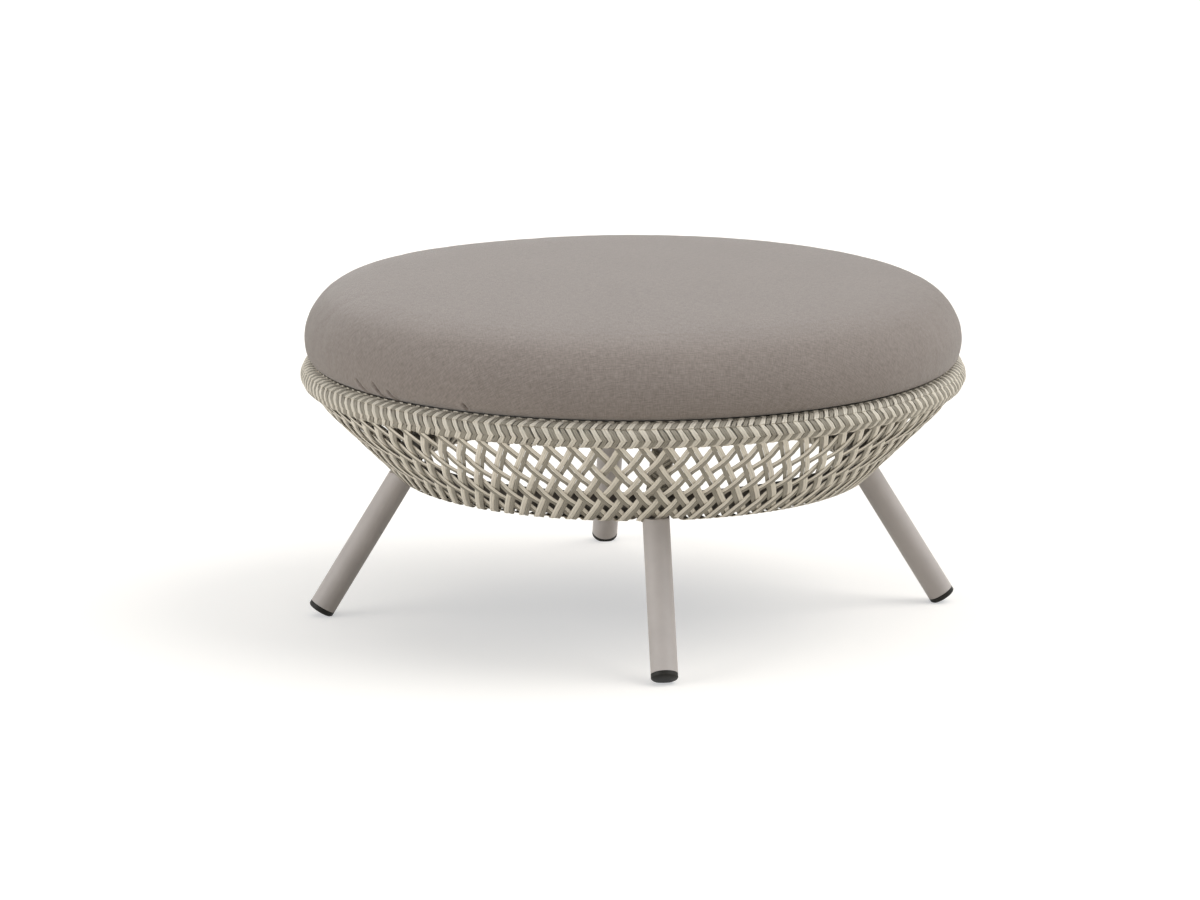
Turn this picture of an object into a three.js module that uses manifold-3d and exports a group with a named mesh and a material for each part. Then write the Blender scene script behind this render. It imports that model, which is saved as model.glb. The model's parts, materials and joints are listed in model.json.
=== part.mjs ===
// Outdoor ottoman footstool: a round woven basket on four splayed tube legs, with a loose cushion.
// Millimetres, +Z up. The origin lies on the floor under the centre, and the legs stand on the X and Y axes.
import * as THREE from 'three';
import { mergeVertices } from 'three/addons/utils/BufferGeometryUtils.js';
import Module from 'manifold-3d';

// Clearances
const seatGap = 0.3; // left between two pieces that rest on each other
const overrun = 20; // how far a cutting body runs past what it cuts
const weldTolerance = 0.001; // vertices closer than this are one vertex

// Rim: an aluminium tube under a braided sleeve
const rimRadius = 422.4; // centre line of the tube, seen from above
const rimHeight = 324; // centre line above the floor
const rimTubeDiameter = 25;
const rimBraidThickness = 4.8;
const braidValleyDepth = 0.9; // dip between two rows of the braid
const braidRowAngle = 52; // degrees round the tube that one row of the braid covers
const braidFirstValleyAngle = -66; // degrees from straight out, positive upwards
const braidLowerEdgeAngle = -94; // the sleeve stops here, where the ribs reach the tube
const braidUpperEdgeAngle = 148; // and here, where the deck hoop reaches it

// Woven wall: flat strands between the rim and the base ring
const wallAngle = 44.55; // degrees from the floor
const wallLength = 175.5; // bottom edge to the rim, along the slope
const strandPairs = 88; // strands each way
const crossingRows = 6; // rows of crossings from the bottom fold to the top fold
const strandLoops = 2; // lengths of strand that make the whole wall
const strandWidth = 8.5;
const strandThickness = 1.4;
const weaveLift = 2.6; // a strand's centre above or below the wall's middle at a crossing
const foldReach = 5.3; // how far a folded corner reaches past the strand's centre line

// Base ring and the ribs that join it to the rim
const baseRingDiameter = 28;
const baseRingRise = 8; // its centre above the wall's bottom edge, along the slope
const ribDepth = 16; // an oval tube, this deep square to the wall
const ribWidth = 22.4; // and this wide along it
const ribWrapThickness = 2.5; // square to the wall

// Legs and their end plugs
const legCount = 4;
const legDiameter = 35;
const legWall = 2;
const legSplay = 31.4; // degrees from upright
const legInset = 5.3; // from the base ring's centre line in to the leg's axis, square to the leg
const legBoreStop = 40; // from the end of the bore to the base ring's level, along the leg
const legLip = 5; // how far a leg's outer side rises past the wall's bottom edge
const plugFlange = 5;
const plugDome = 3;
const plugEdge = 0.8; // bevel of the flange's rim
const plugSpigotLength = 20;
const plugSpigotGap = 0.3;
const footFlatDepth = 1.5; // how much of the plug's lowest edge is flat on the floor

// Deck under the cushion: a flat hoop inside the rim and interlaced straps across it
const hoopWidth = 30;
const hoopThickness = 3;
const hoopDrop = -3.2; // the hoop's underside below the rim's centre line, so negative is above
const strapCount = 4; // straps each way
const strapWidth = 60;
const strapThickness = 2;
const strapCornerRoom = 37; // between the hoop and the corner of the outermost crossing
const strapPlateau = 3; // a strap stays level this far past the one that it crosses
const strapRamp = 36; // from the last crossing down to the hoop
const strapEndInset = 6; // the strap's end inside the hoop's outer edge
const rivetDiameter = 5;
const rivetHeadDiameter = 12;
const rivetHeadHeight = 1;
const rivetTailDiameter = 8;
const rivetTailHeight = 2.5;

// Cushion
const cushionRadius = 434.5;
const cushionTop = 463.3; // above the floor
const cushionRimGap = 0.6;
const cushionSeatInset = 19; // flat underside inside the hoop's outer edge
const cushionHugStartAngle = 140; // degrees round the rim where the underside starts to follow it
const cushionHugEndAngle = 72; // and where it leaves the rim for the side
// Side and crown as [share of cushionRadius, share of the height above the rim], bottom to top
const cushionSideShares = [
  [0.992, 0.045], [0.999, 0.17], [1, 0.3], [0.99, 0.445], [0.967, 0.59], [0.93, 0.725],
  [0.875, 0.815], [0.795, 0.877], [0.645, 0.93], [0.415, 0.972], [0.207, 0.994], [0, 1],
];

// Faceting
const ringSteps = 48;
const tubeSides = 8;
const legSides = 16;
const rivetSides = 8;
const ribSides = 12;
const wallCutSteps = 96;
const cushionSideSteps = 15;
const cushionHugSteps = 3;

const aluminium = new THREE.MeshStandardMaterial({ color: 0x9a918d, roughness: 0.55, metalness: 0.1 });
const strandFibre = new THREE.MeshStandardMaterial({ color: 0xb4ad9e, roughness: 0.7, metalness: 0 });
const braidFibre = new THREE.MeshStandardMaterial({ color: 0xbdb6a7, roughness: 0.7, metalness: 0 });
const wrapFibre = new THREE.MeshStandardMaterial({ color: 0x9c9585, roughness: 0.75, metalness: 0 });
const blackPlastic = new THREE.MeshStandardMaterial({ color: 0x39352c, roughness: 0.5, metalness: 0 });
const strapWebbing = new THREE.MeshStandardMaterial({ color: 0x4a4743, roughness: 0.9, metalness: 0 });
const cushionFabric = new THREE.MeshStandardMaterial({ color: 0xa29a96, roughness: 0.95, metalness: 0 });

const rad = THREE.MathUtils.degToRad;
const halfTurn = Math.PI;
const fullTurn = 2 * Math.PI;

const ottoman = new THREE.Group();
const wasm = await Module();
wasm.setup();

// Bodies and booleans

/** Names a geometry, gives it its material and adds it to the ottoman. */
function addPiece(name, geometry, material) {
  const mesh = new THREE.Mesh(geometry, material);
  mesh.name = name;
  ottoman.add(mesh);
  return mesh;
}

/** A closed geometry as a solid that can be joined and cut. */
function toSolid(geometry) {
  const bare = geometry.clone();
  bare.deleteAttribute('normal');
  bare.deleteAttribute('uv');
  const merged = mergeVertices(bare, weldTolerance);
  return new wasm.Manifold(new wasm.Mesh({
    numProp: 3,
    vertProperties: Float32Array.from(merged.attributes.position.array),
    triVerts: Uint32Array.from(merged.index.array),
  }));
}

/** A solid back as a geometry. */
function toGeometry(solid) {
  const { vertProperties, triVerts } = solid.getMesh();
  const geometry = new THREE.BufferGeometry();
  geometry.setAttribute('position', new THREE.BufferAttribute(Float32Array.from(vertProperties), 3));
  geometry.setIndex(Array.from(triVerts));
  geometry.computeVertexNormals();
  return geometry;
}

/** Turns a closed outline of [radius, height] points about the Z axis. The outline runs anticlockwise. */
function revolve(outline, steps) {
  const points = outline.map(([r, z]) => new THREE.Vector2(r, z));
  return new THREE.LatheGeometry(points, steps).rotateX(halfTurn / 2);
}

/** A ring's section: a regular polygon about a centre { r, z }, closed on itself. */
function ringOutline(centre, radius, sides) {
  const corner = (i) => {
    const angle = (i + 1 / 2) * fullTurn / sides;
    return [centre.r + radius * Math.cos(angle), centre.z + radius * Math.sin(angle)];
  };
  return Array.from({ length: sides + 1 }, (_, i) => corner(i % sides));
}

/** A point at an angle in degrees and a distance from a ring's centre line, as [radius, height]. */
function roundCentre(centre, radius, degrees) {
  return [centre.r + radius * Math.cos(rad(degrees)), centre.z + radius * Math.sin(rad(degrees))];
}

/** A point { r, z } at an azimuth, as a vector. */
function atAzimuth({ r, z }, azimuth) {
  return new THREE.Vector3(r * Math.cos(azimuth), r * Math.sin(azimuth), z);
}

/** A closed cylinder between two points, turned so that it keeps one face towards the axis of the ottoman. */
function rod(from, to, radius, sides) {
  const length = from.distanceTo(to);
  const geometry = new THREE.CylinderGeometry(radius, radius, length, sides, 1, false, halfTurn / sides);
  return placeAlong(geometry.translate(0, length / 2, 0), from, to);
}

/** Lays a geometry that stands on +Y from the origin along the line between two points. */
function placeAlong(geometry, from, to) {
  const along = to.clone().sub(from).normalize();
  const side = new THREE.Vector3().crossVectors(along, new THREE.Vector3(0, 0, 1)).normalize();
  const third = new THREE.Vector3().crossVectors(side, along);
  const turn = new THREE.Matrix4().makeBasis(side, along, third).setPosition(from);
  return geometry.applyMatrix4(turn);
}

// Places that several pieces share

const slope = rad(wallAngle);
const wallUp = { r: Math.cos(slope), z: Math.sin(slope) }; // up the wall and outwards
const wallOut = { r: Math.sin(slope), z: -Math.cos(slope) }; // square to the wall, outwards and down
const wallHalf = weaveLift + strandThickness / 2;

const rimCentre = { r: rimRadius, z: rimHeight };
const rimTubeRadius = rimTubeDiameter / 2;
const braidBore = rimTubeRadius + seatGap;
const braidRadius = braidBore + rimBraidThickness;
const wallFromRim = braidRadius - wallHalf; // rim's centre line to the wall's middle surface

/** A point on the wall: rise runs up the slope from the bottom edge, lift runs outwards from its middle. */
function onWall(rise, lift) {
  const down = wallLength - rise;
  return {
    r: rimRadius + wallOut.r * (wallFromRim + lift) - wallUp.r * down,
    z: rimHeight + wallOut.z * (wallFromRim + lift) - wallUp.z * down,
  };
}

const baseRingRadius = baseRingDiameter / 2;
const baseCentre = onWall(baseRingRise, -(wallHalf + seatGap + baseRingRadius));

const legAzimuths = Array.from({ length: legCount }, (_, i) => i * fullTurn / legCount);
const compassNames = ['right', 'back', 'left', 'front'];

const hoopBottom = rimHeight - hoopDrop;
const hoopTop = hoopBottom + hoopThickness;
const hoopOuter = rimRadius - rimTubeRadius * Math.cos(halfTurn / tubeSides) - seatGap;
const hoopInner = hoopOuter - hoopWidth;
const rivetCircle = hoopOuter - hoopWidth / 2;
const strapMiddle = hoopTop + seatGap + strapThickness / 2;
const strapEndTop = strapMiddle + strapThickness / 2;
const strapLift = (strapThickness + seatGap) / 2;
const crossingHalf = strapWidth / 2 + strapPlateau; // a crossing's level stretch, from its middle
const outermost = (hoopInner - strapCornerRoom) / Math.SQRT2 - crossingHalf;
const strapSpacing = 2 * outermost / (strapCount - 1);
const deckTop = strapMiddle + strapLift + strapThickness / 2;

// Rim

function buildRimTube() {
  return revolve(ringOutline(rimCentre, rimTubeRadius, tubeSides), ringSteps);
}

/** The braid: an open sleeve whose outside swells between the valleys of its rows. */
function buildRimBraid() {
  const valleys = [];
  for (let a = braidFirstValleyAngle; a < braidUpperEdgeAngle; a += braidRowAngle) valleys.push(a);
  const outside = [[braidRadius - braidValleyDepth, braidLowerEdgeAngle]];
  for (const valley of valleys) {
    outside.push([braidRadius - braidValleyDepth, valley]);
    const crown = valley + braidRowAngle / 2;
    if (crown < braidUpperEdgeAngle) outside.push([braidRadius, crown]);
  }
  outside.push([braidRadius - braidValleyDepth, braidUpperEdgeAngle]);
  const inside = [[braidBore, braidUpperEdgeAngle]];
  for (let i = tubeSides - 1; i >= -tubeSides; i -= 1) {
    const angle = (i + 1 / 2) * 360 / tubeSides;
    if (angle < braidUpperEdgeAngle && angle > braidLowerEdgeAngle) inside.push([braidBore, angle]);
  }
  inside.push([braidBore, braidLowerEdgeAngle]);
  const outline = [...outside, ...inside, outside[0]];
  return revolve(outline.map(([radius, angle]) => roundCentre(rimCentre, radius, angle)), ringSteps);
}

// Woven wall

const strandTopInside = wallFromRim - strandThickness / 2;
const wallTopRise = wallLength - Math.sqrt((braidRadius + seatGap) ** 2 - strandTopInside ** 2);
const bottomRowRise = foldReach;
const topRowRise = wallTopRise - foldReach;

/** Rows of crossings stand farther apart up the wall as its girth grows, so the braid keeps its angle. */
function rowRise(row) {
  const bottom = onWall(bottomRowRise, 0).r;
  const top = onWall(topRowRise, 0).r;
  const radius = bottom * (top / bottom) ** (row / crossingRows);
  return bottomRowRise + (radius - bottom) / wallUp.r;
}

/** The corners of one loop of strand: up to the rim, a fold, down and a fold, always turning one way. */
function strandPath(loop) {
  const corners = [];
  const runs = 2 * strandPairs / strandLoops;
  const azimuthStep = halfTurn / strandPairs;
  for (let i = 0; i < runs * crossingRows; i += 1) {
    const along = i % (2 * crossingRows);
    const climbing = along < crossingRows;
    const row = climbing ? along : 2 * crossingRows - along;
    const folded = row === 0 || row === crossingRows;
    const side = (row % 2 === 0) === climbing ? -1 : 1;
    const azimuth = (i + 2 * loop + 1) * azimuthStep;
    const lift = folded ? 0 : side * weaveLift;
    corners.push({ azimuth, place: atAzimuth(onWall(rowRise(row), lift), azimuth) });
  }
  return corners;
}

/** One loop of flat strand as a closed band, over one and under one. Its flat side lies along the wall. */
function buildStrandLoop(loop) {
  const corners = strandPath(loop);
  const count = corners.length;
  const positions = [];
  const faces = [];
  corners.forEach(({ azimuth, place }, i) => {
    const before = corners[(i + count - 1) % count].place;
    const after = corners[(i + 1) % count].place;
    const out = atAzimuth(wallOut, azimuth);
    const across = (from, to) => new THREE.Vector3().crossVectors(out, to.clone().sub(from)).normalize();
    const middle = across(before, place).add(across(place, after));
    const mitre = Math.min(strandWidth / middle.length(), foldReach);
    middle.normalize();
    for (const [u, v] of [[-1, -1], [1, -1], [1, 1], [-1, 1]]) {
      const corner = place.clone().addScaledVector(middle, u * mitre);
      corner.addScaledVector(out, v * strandThickness / 2);
      positions.push(corner.x, corner.y, corner.z);
    }
    for (let k = 0; k < 4; k += 1) {
      const here = 4 * i;
      const next = 4 * ((i + 1) % count);
      const l = (k + 1) % 4;
      faces.push(here + k, here + l, next + l, here + k, next + l, next + k);
    }
  });
  const geometry = new THREE.BufferGeometry();
  geometry.setAttribute('position', new THREE.Float32BufferAttribute(positions, 3));
  geometry.setIndex(faces);
  geometry.computeVertexNormals();
  return geometry;
}

// Base ring and ribs

function buildBaseRing() {
  return revolve(ringOutline(baseCentre, baseRingRadius, tubeSides), ringSteps);
}

/** A ring grown by the seat gap, to cut what is fitted to it. */
function ringCutter(centre, radius) {
  return toSolid(revolve(ringOutline(centre, radius + seatGap, tubeSides), ringSteps));
}

/** Makes a round piece of the rib at azimuth 0 oval, and turns it to its own azimuth. */
function asOval(geometry, azimuth) {
  return geometry.scale(1, ribWidth / ribDepth, 1).rotateZ(azimuth);
}

/** A rib's bare tube, fitted at both ends to the rings that it joins. */
function buildRib(azimuth) {
  const tube = rod(atAzimuth(baseCentre, 0), atAzimuth(rimCentre, 0), ribDepth / 2, ribSides);
  const fitted = toSolid(asOval(tube, azimuth))
    .subtract(ringCutter(baseCentre, baseRingRadius))
    .subtract(ringCutter(rimCentre, rimTubeRadius));
  const pieces = fitted.decompose().sort((a, b) => b.volume() - a.volume());
  return toGeometry(pieces[0]);
}

/** The fibre wound round a rib, as a sleeve with square ends. */
function buildRibWrap(azimuth) {
  const base = atAzimuth(baseCentre, 0);
  const rim = atAzimuth(rimCentre, 0);
  const along = rim.clone().sub(base).normalize();
  const from = base.addScaledVector(along, baseRingRadius + seatGap);
  const to = rim.addScaledVector(along, -(braidRadius + seatGap));
  const bore = ribDepth / 2 + seatGap;
  const length = from.distanceTo(to);
  const outer = bore + ribWrapThickness;
  const points = [[bore, 0], [outer, 0], [outer, length], [bore, length], [bore, 0]]
    .map(([x, y]) => new THREE.Vector2(x, y));
  const sleeve = new THREE.LatheGeometry(points, ribSides, halfTurn / ribSides);
  return asOval(placeAlong(sleeve, from, to), azimuth);
}

// Legs and plugs

const splay = rad(legSplay);
const legRadius = legDiameter / 2;
// Along a leg's axis, distances are counted from where the axis meets the floor
const plugFace = (legRadius * Math.sin(splay) - footFlatDepth) / Math.cos(splay);
const legStart = plugFace + plugFlange;
const legTop = baseCentre.z - baseRingRadius * Math.cos(slope) - seatGap;
const legEnd = (legTop + legRadius) / Math.cos(splay);
const legAtRing = (baseCentre.z - legInset * Math.sin(splay)) / Math.cos(splay); // square across from the ring
const footRadius = baseCentre.r - legInset * Math.cos(splay) + legAtRing * Math.sin(splay); // axis at the floor

/** A point on a leg's axis. */
function onLeg(distance, azimuth) {
  const r = footRadius - distance * Math.sin(splay);
  return atAzimuth({ r, z: distance * Math.cos(splay) }, azimuth);
}

/** The space that the woven wall takes, with a seat gap all round, and all that is outside it above the lip. */
function wallCutter() {
  const reach = wallHalf + seatGap;
  const corner = (rise, lift) => {
    const { r, z } = onWall(rise, lift);
    return [r, z];
  };
  const bottom = -seatGap;
  const top = legDiameter + overrun;
  const lip = corner(legLip / wallUp.z, reach);
  const outline = [
    corner(bottom, -reach), corner(bottom, reach), lip, [rimRadius, lip[1]],
    [rimRadius, corner(top, reach)[1]], corner(top, -reach), corner(bottom, -reach),
  ];
  return toSolid(revolve(outline, wallCutSteps));
}

/** A leg: a tube cut level under the base ring, saddled to it, and slotted where the wall's edge goes in. */
function buildLeg(azimuth) {
  const tube = toSolid(rod(onLeg(legStart, azimuth), onLeg(legEnd, azimuth), legRadius, legSides));
  const bore = rod(
    onLeg(legStart - overrun, azimuth), onLeg(legAtRing - legBoreStop, azimuth), legRadius - legWall, legSides,
  );
  const above = new THREE.CylinderGeometry(rimRadius, rimRadius, rimHeight, ringSteps)
    .rotateX(halfTurn / 2).translate(0, 0, legTop + rimHeight / 2);
  const fitted = tube
    .subtract(toSolid(bore))
    .subtract(toSolid(above))
    .subtract(ringCutter(baseCentre, baseRingRadius))
    .subtract(wallCutter());
  const pieces = fitted.decompose().sort((a, b) => b.volume() - a.volume());
  return toGeometry(pieces[0]);
}

/** An end plug: a spigot in the tube, a flange as wide as the leg and a low dome, cut flat where it stands. */
function buildPlug(azimuth) {
  const spigot = legRadius - legWall - plugSpigotGap;
  const faceRadius = legRadius - plugEdge;
  const outline = [
    [0, -plugDome], [faceRadius / 2, -plugDome * 3 / 4], [faceRadius, 0], [legRadius, plugEdge],
    [legRadius, plugFlange - seatGap], [spigot, plugFlange - seatGap],
    [spigot, plugFlange + plugSpigotLength], [0, plugFlange + plugSpigotLength],
  ];
  const points = outline.map(([x, y]) => new THREE.Vector2(x, y));
  const turned = new THREE.LatheGeometry(points, legSides, halfTurn / legSides);
  const placed = placeAlong(turned, onLeg(plugFace, azimuth), onLeg(legEnd, azimuth));
  const floor = new THREE.BoxGeometry(footRadius * 3, footRadius * 3, overrun).translate(0, 0, -overrun / 2);
  return toGeometry(toSolid(placed).subtract(toSolid(floor)));
}

// Deck

/** How far a strap's middle line lies from the centre of the deck. */
function strapOffset(index) {
  return (index - (strapCount - 1) / 2) * strapSpacing;
}

/** The two places on the hoop where a strap is riveted down, seen from above. */
function rivetPlaces(index, alongX) {
  const offset = strapOffset(index);
  const reach = Math.sqrt(rivetCircle ** 2 - offset ** 2);
  const places = [new THREE.Vector3(-reach, offset, 0), new THREE.Vector3(reach, offset, 0)];
  const up = new THREE.Vector3(0, 0, 1);
  return alongX ? places : places.map((place) => place.applyAxisAngle(up, halfTurn / 2));
}

/** Bodies that drill the rivet holes of one strap. */
function rivetDrills(index, alongX) {
  const bore = rivetDiameter / 2 + seatGap;
  const length = strapEndTop - hoopBottom + 2 * overrun;
  return rivetPlaces(index, alongX).map(({ x, y }) => toSolid(
    new THREE.CylinderGeometry(bore, bore, length, rivetSides)
      .rotateX(halfTurn / 2).translate(x, y, (strapEndTop + hoopBottom) / 2),
  ));
}

/** The hoop: a flat ring, drilled for the rivets of all the straps. */
function buildHoop() {
  const outline = [
    [hoopInner, hoopBottom], [hoopOuter, hoopBottom], [hoopOuter, hoopTop], [hoopInner, hoopTop],
    [hoopInner, hoopBottom],
  ];
  let hoop = toSolid(revolve(outline, ringSteps));
  for (let i = 0; i < strapCount; i += 1) {
    for (const drill of [...rivetDrills(i, true), ...rivetDrills(i, false)]) hoop = hoop.subtract(drill);
  }
  return toGeometry(hoop);
}

/** The line of a strap along +X as [distance, lift] points: over one and under one, level on the hoop. */
function strapLine(index) {
  const line = [];
  for (let j = 0; j < strapCount; j += 1) {
    const crossing = strapOffset(j);
    const lift = (index + j) % 2 === 0 ? strapLift : -strapLift;
    line.push([crossing - crossingHalf, lift], [crossing + crossingHalf, lift]);
  }
  const first = line[0][0] - strapRamp;
  const last = line[line.length - 1][0] + strapRamp;
  return [[-hoopOuter, 0], [first, 0], ...line, [last, 0], [hoopOuter, 0]];
}

/** A strap across the hoop, its ends cut round to follow it and drilled for their rivets. */
function buildStrap(index, alongX) {
  // A strap turned onto Y lies at the mirrored place, so its crossings are counted from there
  const line = strapLine(alongX ? index : strapCount - index);
  const half = strapThickness / 2;
  const shape = new THREE.Shape();
  shape.moveTo(line[0][0], line[0][1] - half);
  line.slice(1).forEach(([x, lift]) => shape.lineTo(x, lift - half));
  [...line].reverse().forEach(([x, lift]) => shape.lineTo(x, lift + half));
  const strap = new THREE.ExtrudeGeometry(shape, { depth: strapWidth, bevelEnabled: false })
    .rotateX(halfTurn / 2)
    .translate(0, strapOffset(index) + strapWidth / 2, strapMiddle);
  if (!alongX) strap.rotateZ(halfTurn / 2);
  const end = hoopOuter - strapEndInset;
  const disc = new THREE.CylinderGeometry(end, end, rimHeight, ringSteps)
    .rotateX(halfTurn / 2).translate(0, 0, strapMiddle);
  const [left, right] = rivetDrills(index, alongX);
  return toGeometry(toSolid(strap).intersect(toSolid(disc)).subtract(left).subtract(right));
}

/** A rivet: a wide low head on the strap, and a tail closed under the hoop. */
function buildRivet({ x, y }) {
  const tailTop = hoopBottom - seatGap;
  const headFoot = strapEndTop + seatGap;
  const outline = [
    [0, tailTop - rivetTailHeight], [rivetTailDiameter / 2, tailTop - rivetTailHeight],
    [rivetTailDiameter / 2, tailTop], [rivetDiameter / 2, tailTop], [rivetDiameter / 2, headFoot],
    [rivetHeadDiameter / 2, headFoot], [rivetHeadDiameter / 4, headFoot + rivetHeadHeight],
    [0, headFoot + rivetHeadHeight],
  ];
  return revolve(outline, rivetSides).translate(x, y, 0);
}

// Cushion

/** The cushion: flat on the straps, over the rim's shoulder, drawn in at the rim and crowned on top. */
function buildCushion() {
  const bottom = deckTop + seatGap;
  const rimTop = rimHeight + braidRadius + cushionRimGap;
  const hug = Array.from({ length: cushionHugSteps + 1 }, (_, i) => {
    const angle = cushionHugStartAngle + (cushionHugEndAngle - cushionHugStartAngle) * i / cushionHugSteps;
    return roundCentre(rimCentre, braidRadius + cushionRimGap, angle);
  });
  const side = cushionSideShares.map(([wide, high]) => [
    wide * cushionRadius, rimTop + high * (cushionTop - rimTop),
  ]);
  const curve = new THREE.SplineCurve(side.map(([r, z]) => new THREE.Vector2(r, z)));
  const crown = curve.getPoints(cushionSideSteps).map(({ x, y }) => [Math.max(x, 0), y]);
  const outline = [[hoopOuter - cushionSeatInset, bottom], ...hug, ...crown];
  return revolve([[0, bottom], ...outline], ringSteps);
}

addPiece('rim_tube', buildRimTube(), aluminium);
addPiece('rim_braid', buildRimBraid(), braidFibre);
for (let loop = 0; loop < strandLoops; loop += 1) {
  addPiece(`wall_strand_${loop + 1}`, buildStrandLoop(loop), strandFibre);
}
addPiece('base_ring', buildBaseRing(), aluminium);
legAzimuths.forEach((azimuth, i) => {
  addPiece(`rib_tube_${compassNames[i]}`, buildRib(azimuth), aluminium);
  addPiece(`rib_wrap_${compassNames[i]}`, buildRibWrap(azimuth), wrapFibre);
  addPiece(`leg_tube_${compassNames[i]}`, buildLeg(azimuth), aluminium);
  addPiece(`leg_plug_${compassNames[i]}`, buildPlug(azimuth), blackPlastic);
});
addPiece('deck_hoop', buildHoop(), aluminium);
for (let i = 0; i < strapCount; i += 1) {
  for (const [axis, alongX] of [['x', true], ['y', false]]) {
    addPiece(`deck_strap_${axis}_${i + 1}`, buildStrap(i, alongX), strapWebbing);
    const [start, end] = rivetPlaces(i, alongX);
    addPiece(`deck_rivet_${axis}_${i + 1}_start`, buildRivet(start), aluminium);
    addPiece(`deck_rivet_${axis}_${i + 1}_end`, buildRivet(end), aluminium);
  }
}
addPiece('seat_cushion', buildCushion(), cushionFabric);

export default ottoman;
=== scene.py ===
"""The look of a round outdoor ottoman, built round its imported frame.

A shallow basket of flat woven fibre stands on four splayed tube legs and carries a thick round cushion.
Lengths are metres and angles are radians, unless a name says otherwise, and +Z is up. Radius and height
pairs are places on a plane through the ottoman's axis.
"""

from __future__ import annotations

import json
import logging
import math
import random
from collections.abc import Iterator, Sequence
from contextlib import contextmanager
from dataclasses import dataclass, field
from enum import Enum

import bpy
import numpy as np
from mathutils import Matrix, Vector

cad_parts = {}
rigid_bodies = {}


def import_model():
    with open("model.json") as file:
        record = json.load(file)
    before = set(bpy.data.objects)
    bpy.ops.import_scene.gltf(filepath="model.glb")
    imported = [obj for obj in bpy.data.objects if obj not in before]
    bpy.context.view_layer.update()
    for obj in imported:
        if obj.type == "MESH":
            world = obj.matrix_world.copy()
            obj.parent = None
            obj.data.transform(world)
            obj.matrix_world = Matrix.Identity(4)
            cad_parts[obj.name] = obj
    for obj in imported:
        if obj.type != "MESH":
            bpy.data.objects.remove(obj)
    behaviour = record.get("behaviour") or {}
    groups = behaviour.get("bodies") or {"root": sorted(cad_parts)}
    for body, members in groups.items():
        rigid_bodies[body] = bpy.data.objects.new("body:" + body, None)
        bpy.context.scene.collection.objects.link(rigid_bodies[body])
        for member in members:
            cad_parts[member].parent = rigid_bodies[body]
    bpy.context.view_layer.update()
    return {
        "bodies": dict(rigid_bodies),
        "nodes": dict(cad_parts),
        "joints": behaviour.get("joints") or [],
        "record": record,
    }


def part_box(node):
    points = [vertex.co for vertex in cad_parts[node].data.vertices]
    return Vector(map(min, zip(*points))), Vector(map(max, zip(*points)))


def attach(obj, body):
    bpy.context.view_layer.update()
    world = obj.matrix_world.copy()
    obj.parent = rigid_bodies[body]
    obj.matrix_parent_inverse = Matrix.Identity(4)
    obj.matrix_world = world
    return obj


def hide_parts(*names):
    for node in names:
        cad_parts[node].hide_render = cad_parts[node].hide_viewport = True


LOG = logging.getLogger("ottoman")

Piece = bpy.types.Object
Material = bpy.types.Material
Socket = bpy.types.NodeSocket
Place = tuple[float, float]
Colour = tuple[float, float, float]
Direction = tuple[float, float, float]

FULL_TURN = 2 * math.pi
HALF_TURN = math.pi
QUARTER_TURN = math.pi / 2
UP = Vector((0, 0, 1))
LEG_NAMES = ("right", "back", "left", "front")
QUARTERS = len(LEG_NAMES)
MERGE_WITHIN = 1e-6
ALMOST_NOTHING = 1e-9
SPOOL_LENGTH = 50.0


class Lean(Enum):
    """Which way a strand climbs, seen from outside the basket."""

    RISING = 1
    FALLING = -1


class Shade(Enum):
    """The two fibres that the basket is woven from, as material indices."""

    LIGHT = 0
    GREY = 1


def smooth_step(low: float, high: float, value: float) -> float:
    """Runs smoothly from 0 at low to 1 at high."""
    share = min(max((value - low) / (high - low), 0.0), 1.0)
    return share * share * (3 - 2 * share)


def turned(place: Place, azimuth: float) -> Vector:
    """A radius and height at an azimuth, as a point."""
    return Vector((place[0] * math.cos(azimuth), place[0] * math.sin(azimuth), place[1]))


def round_place(centre: Place, radius: float, angle: float) -> Place:
    """A place on a tube's section, at an angle from straight out."""
    return centre[0] + radius * math.cos(angle), centre[1] + radius * math.sin(angle)


def anywhere(rng: random.Random) -> float:
    """Where on its spool of fibre a strip was cut, which sets its grain."""
    return rng.uniform(0, SPOOL_LENGTH)


@dataclass(frozen=True)
class BasketShape:
    """The sizes of the frame that the rim, the wall, the ribs and the legs share."""

    rim_radius: float = 0.4224
    rim_height: float = 0.324
    rim_tube_radius: float = 0.0125
    braid_radius: float = 0.0176
    wall_slope: float = math.radians(44.55)
    wall_length: float = 0.1755
    wall_from_rim: float = 0.0143
    wall_from_base: float = 0.0176
    base_tube_radius: float = 0.014
    base_rise: float = 0.008
    gap: float = 0.0003
    tube_sides: int = 24
    tube_steps: int = 144

    @property
    def rim(self) -> Place:
        """The centre of the rim tube's section."""
        return self.rim_radius, self.rim_height

    @property
    def out(self) -> Place:
        """The direction square to the wall, outwards and down."""
        return math.sin(self.wall_slope), -math.cos(self.wall_slope)

    @property
    def up(self) -> Place:
        """The direction up the wall and outwards."""
        return math.cos(self.wall_slope), math.sin(self.wall_slope)

    @property
    def base(self) -> Place:
        """The centre of the base ring's section."""
        return self.on_wall(self.base_rise, -self.wall_from_base)

    def on_wall(self, rise: float, lift: float) -> Place:
        """A place on the wall.

        Args:
            rise: distance up the slope from the wall's bottom edge.
            lift: distance outwards from the wall's middle.

        Returns:
            The radius and height of the place.
        """
        away = self.wall_from_rim + lift
        down = self.wall_length - rise
        return (
            self.rim_radius + self.out[0] * away - self.up[0] * down,
            self.rim_height + self.out[1] * away - self.up[1] * down,
        )


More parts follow.
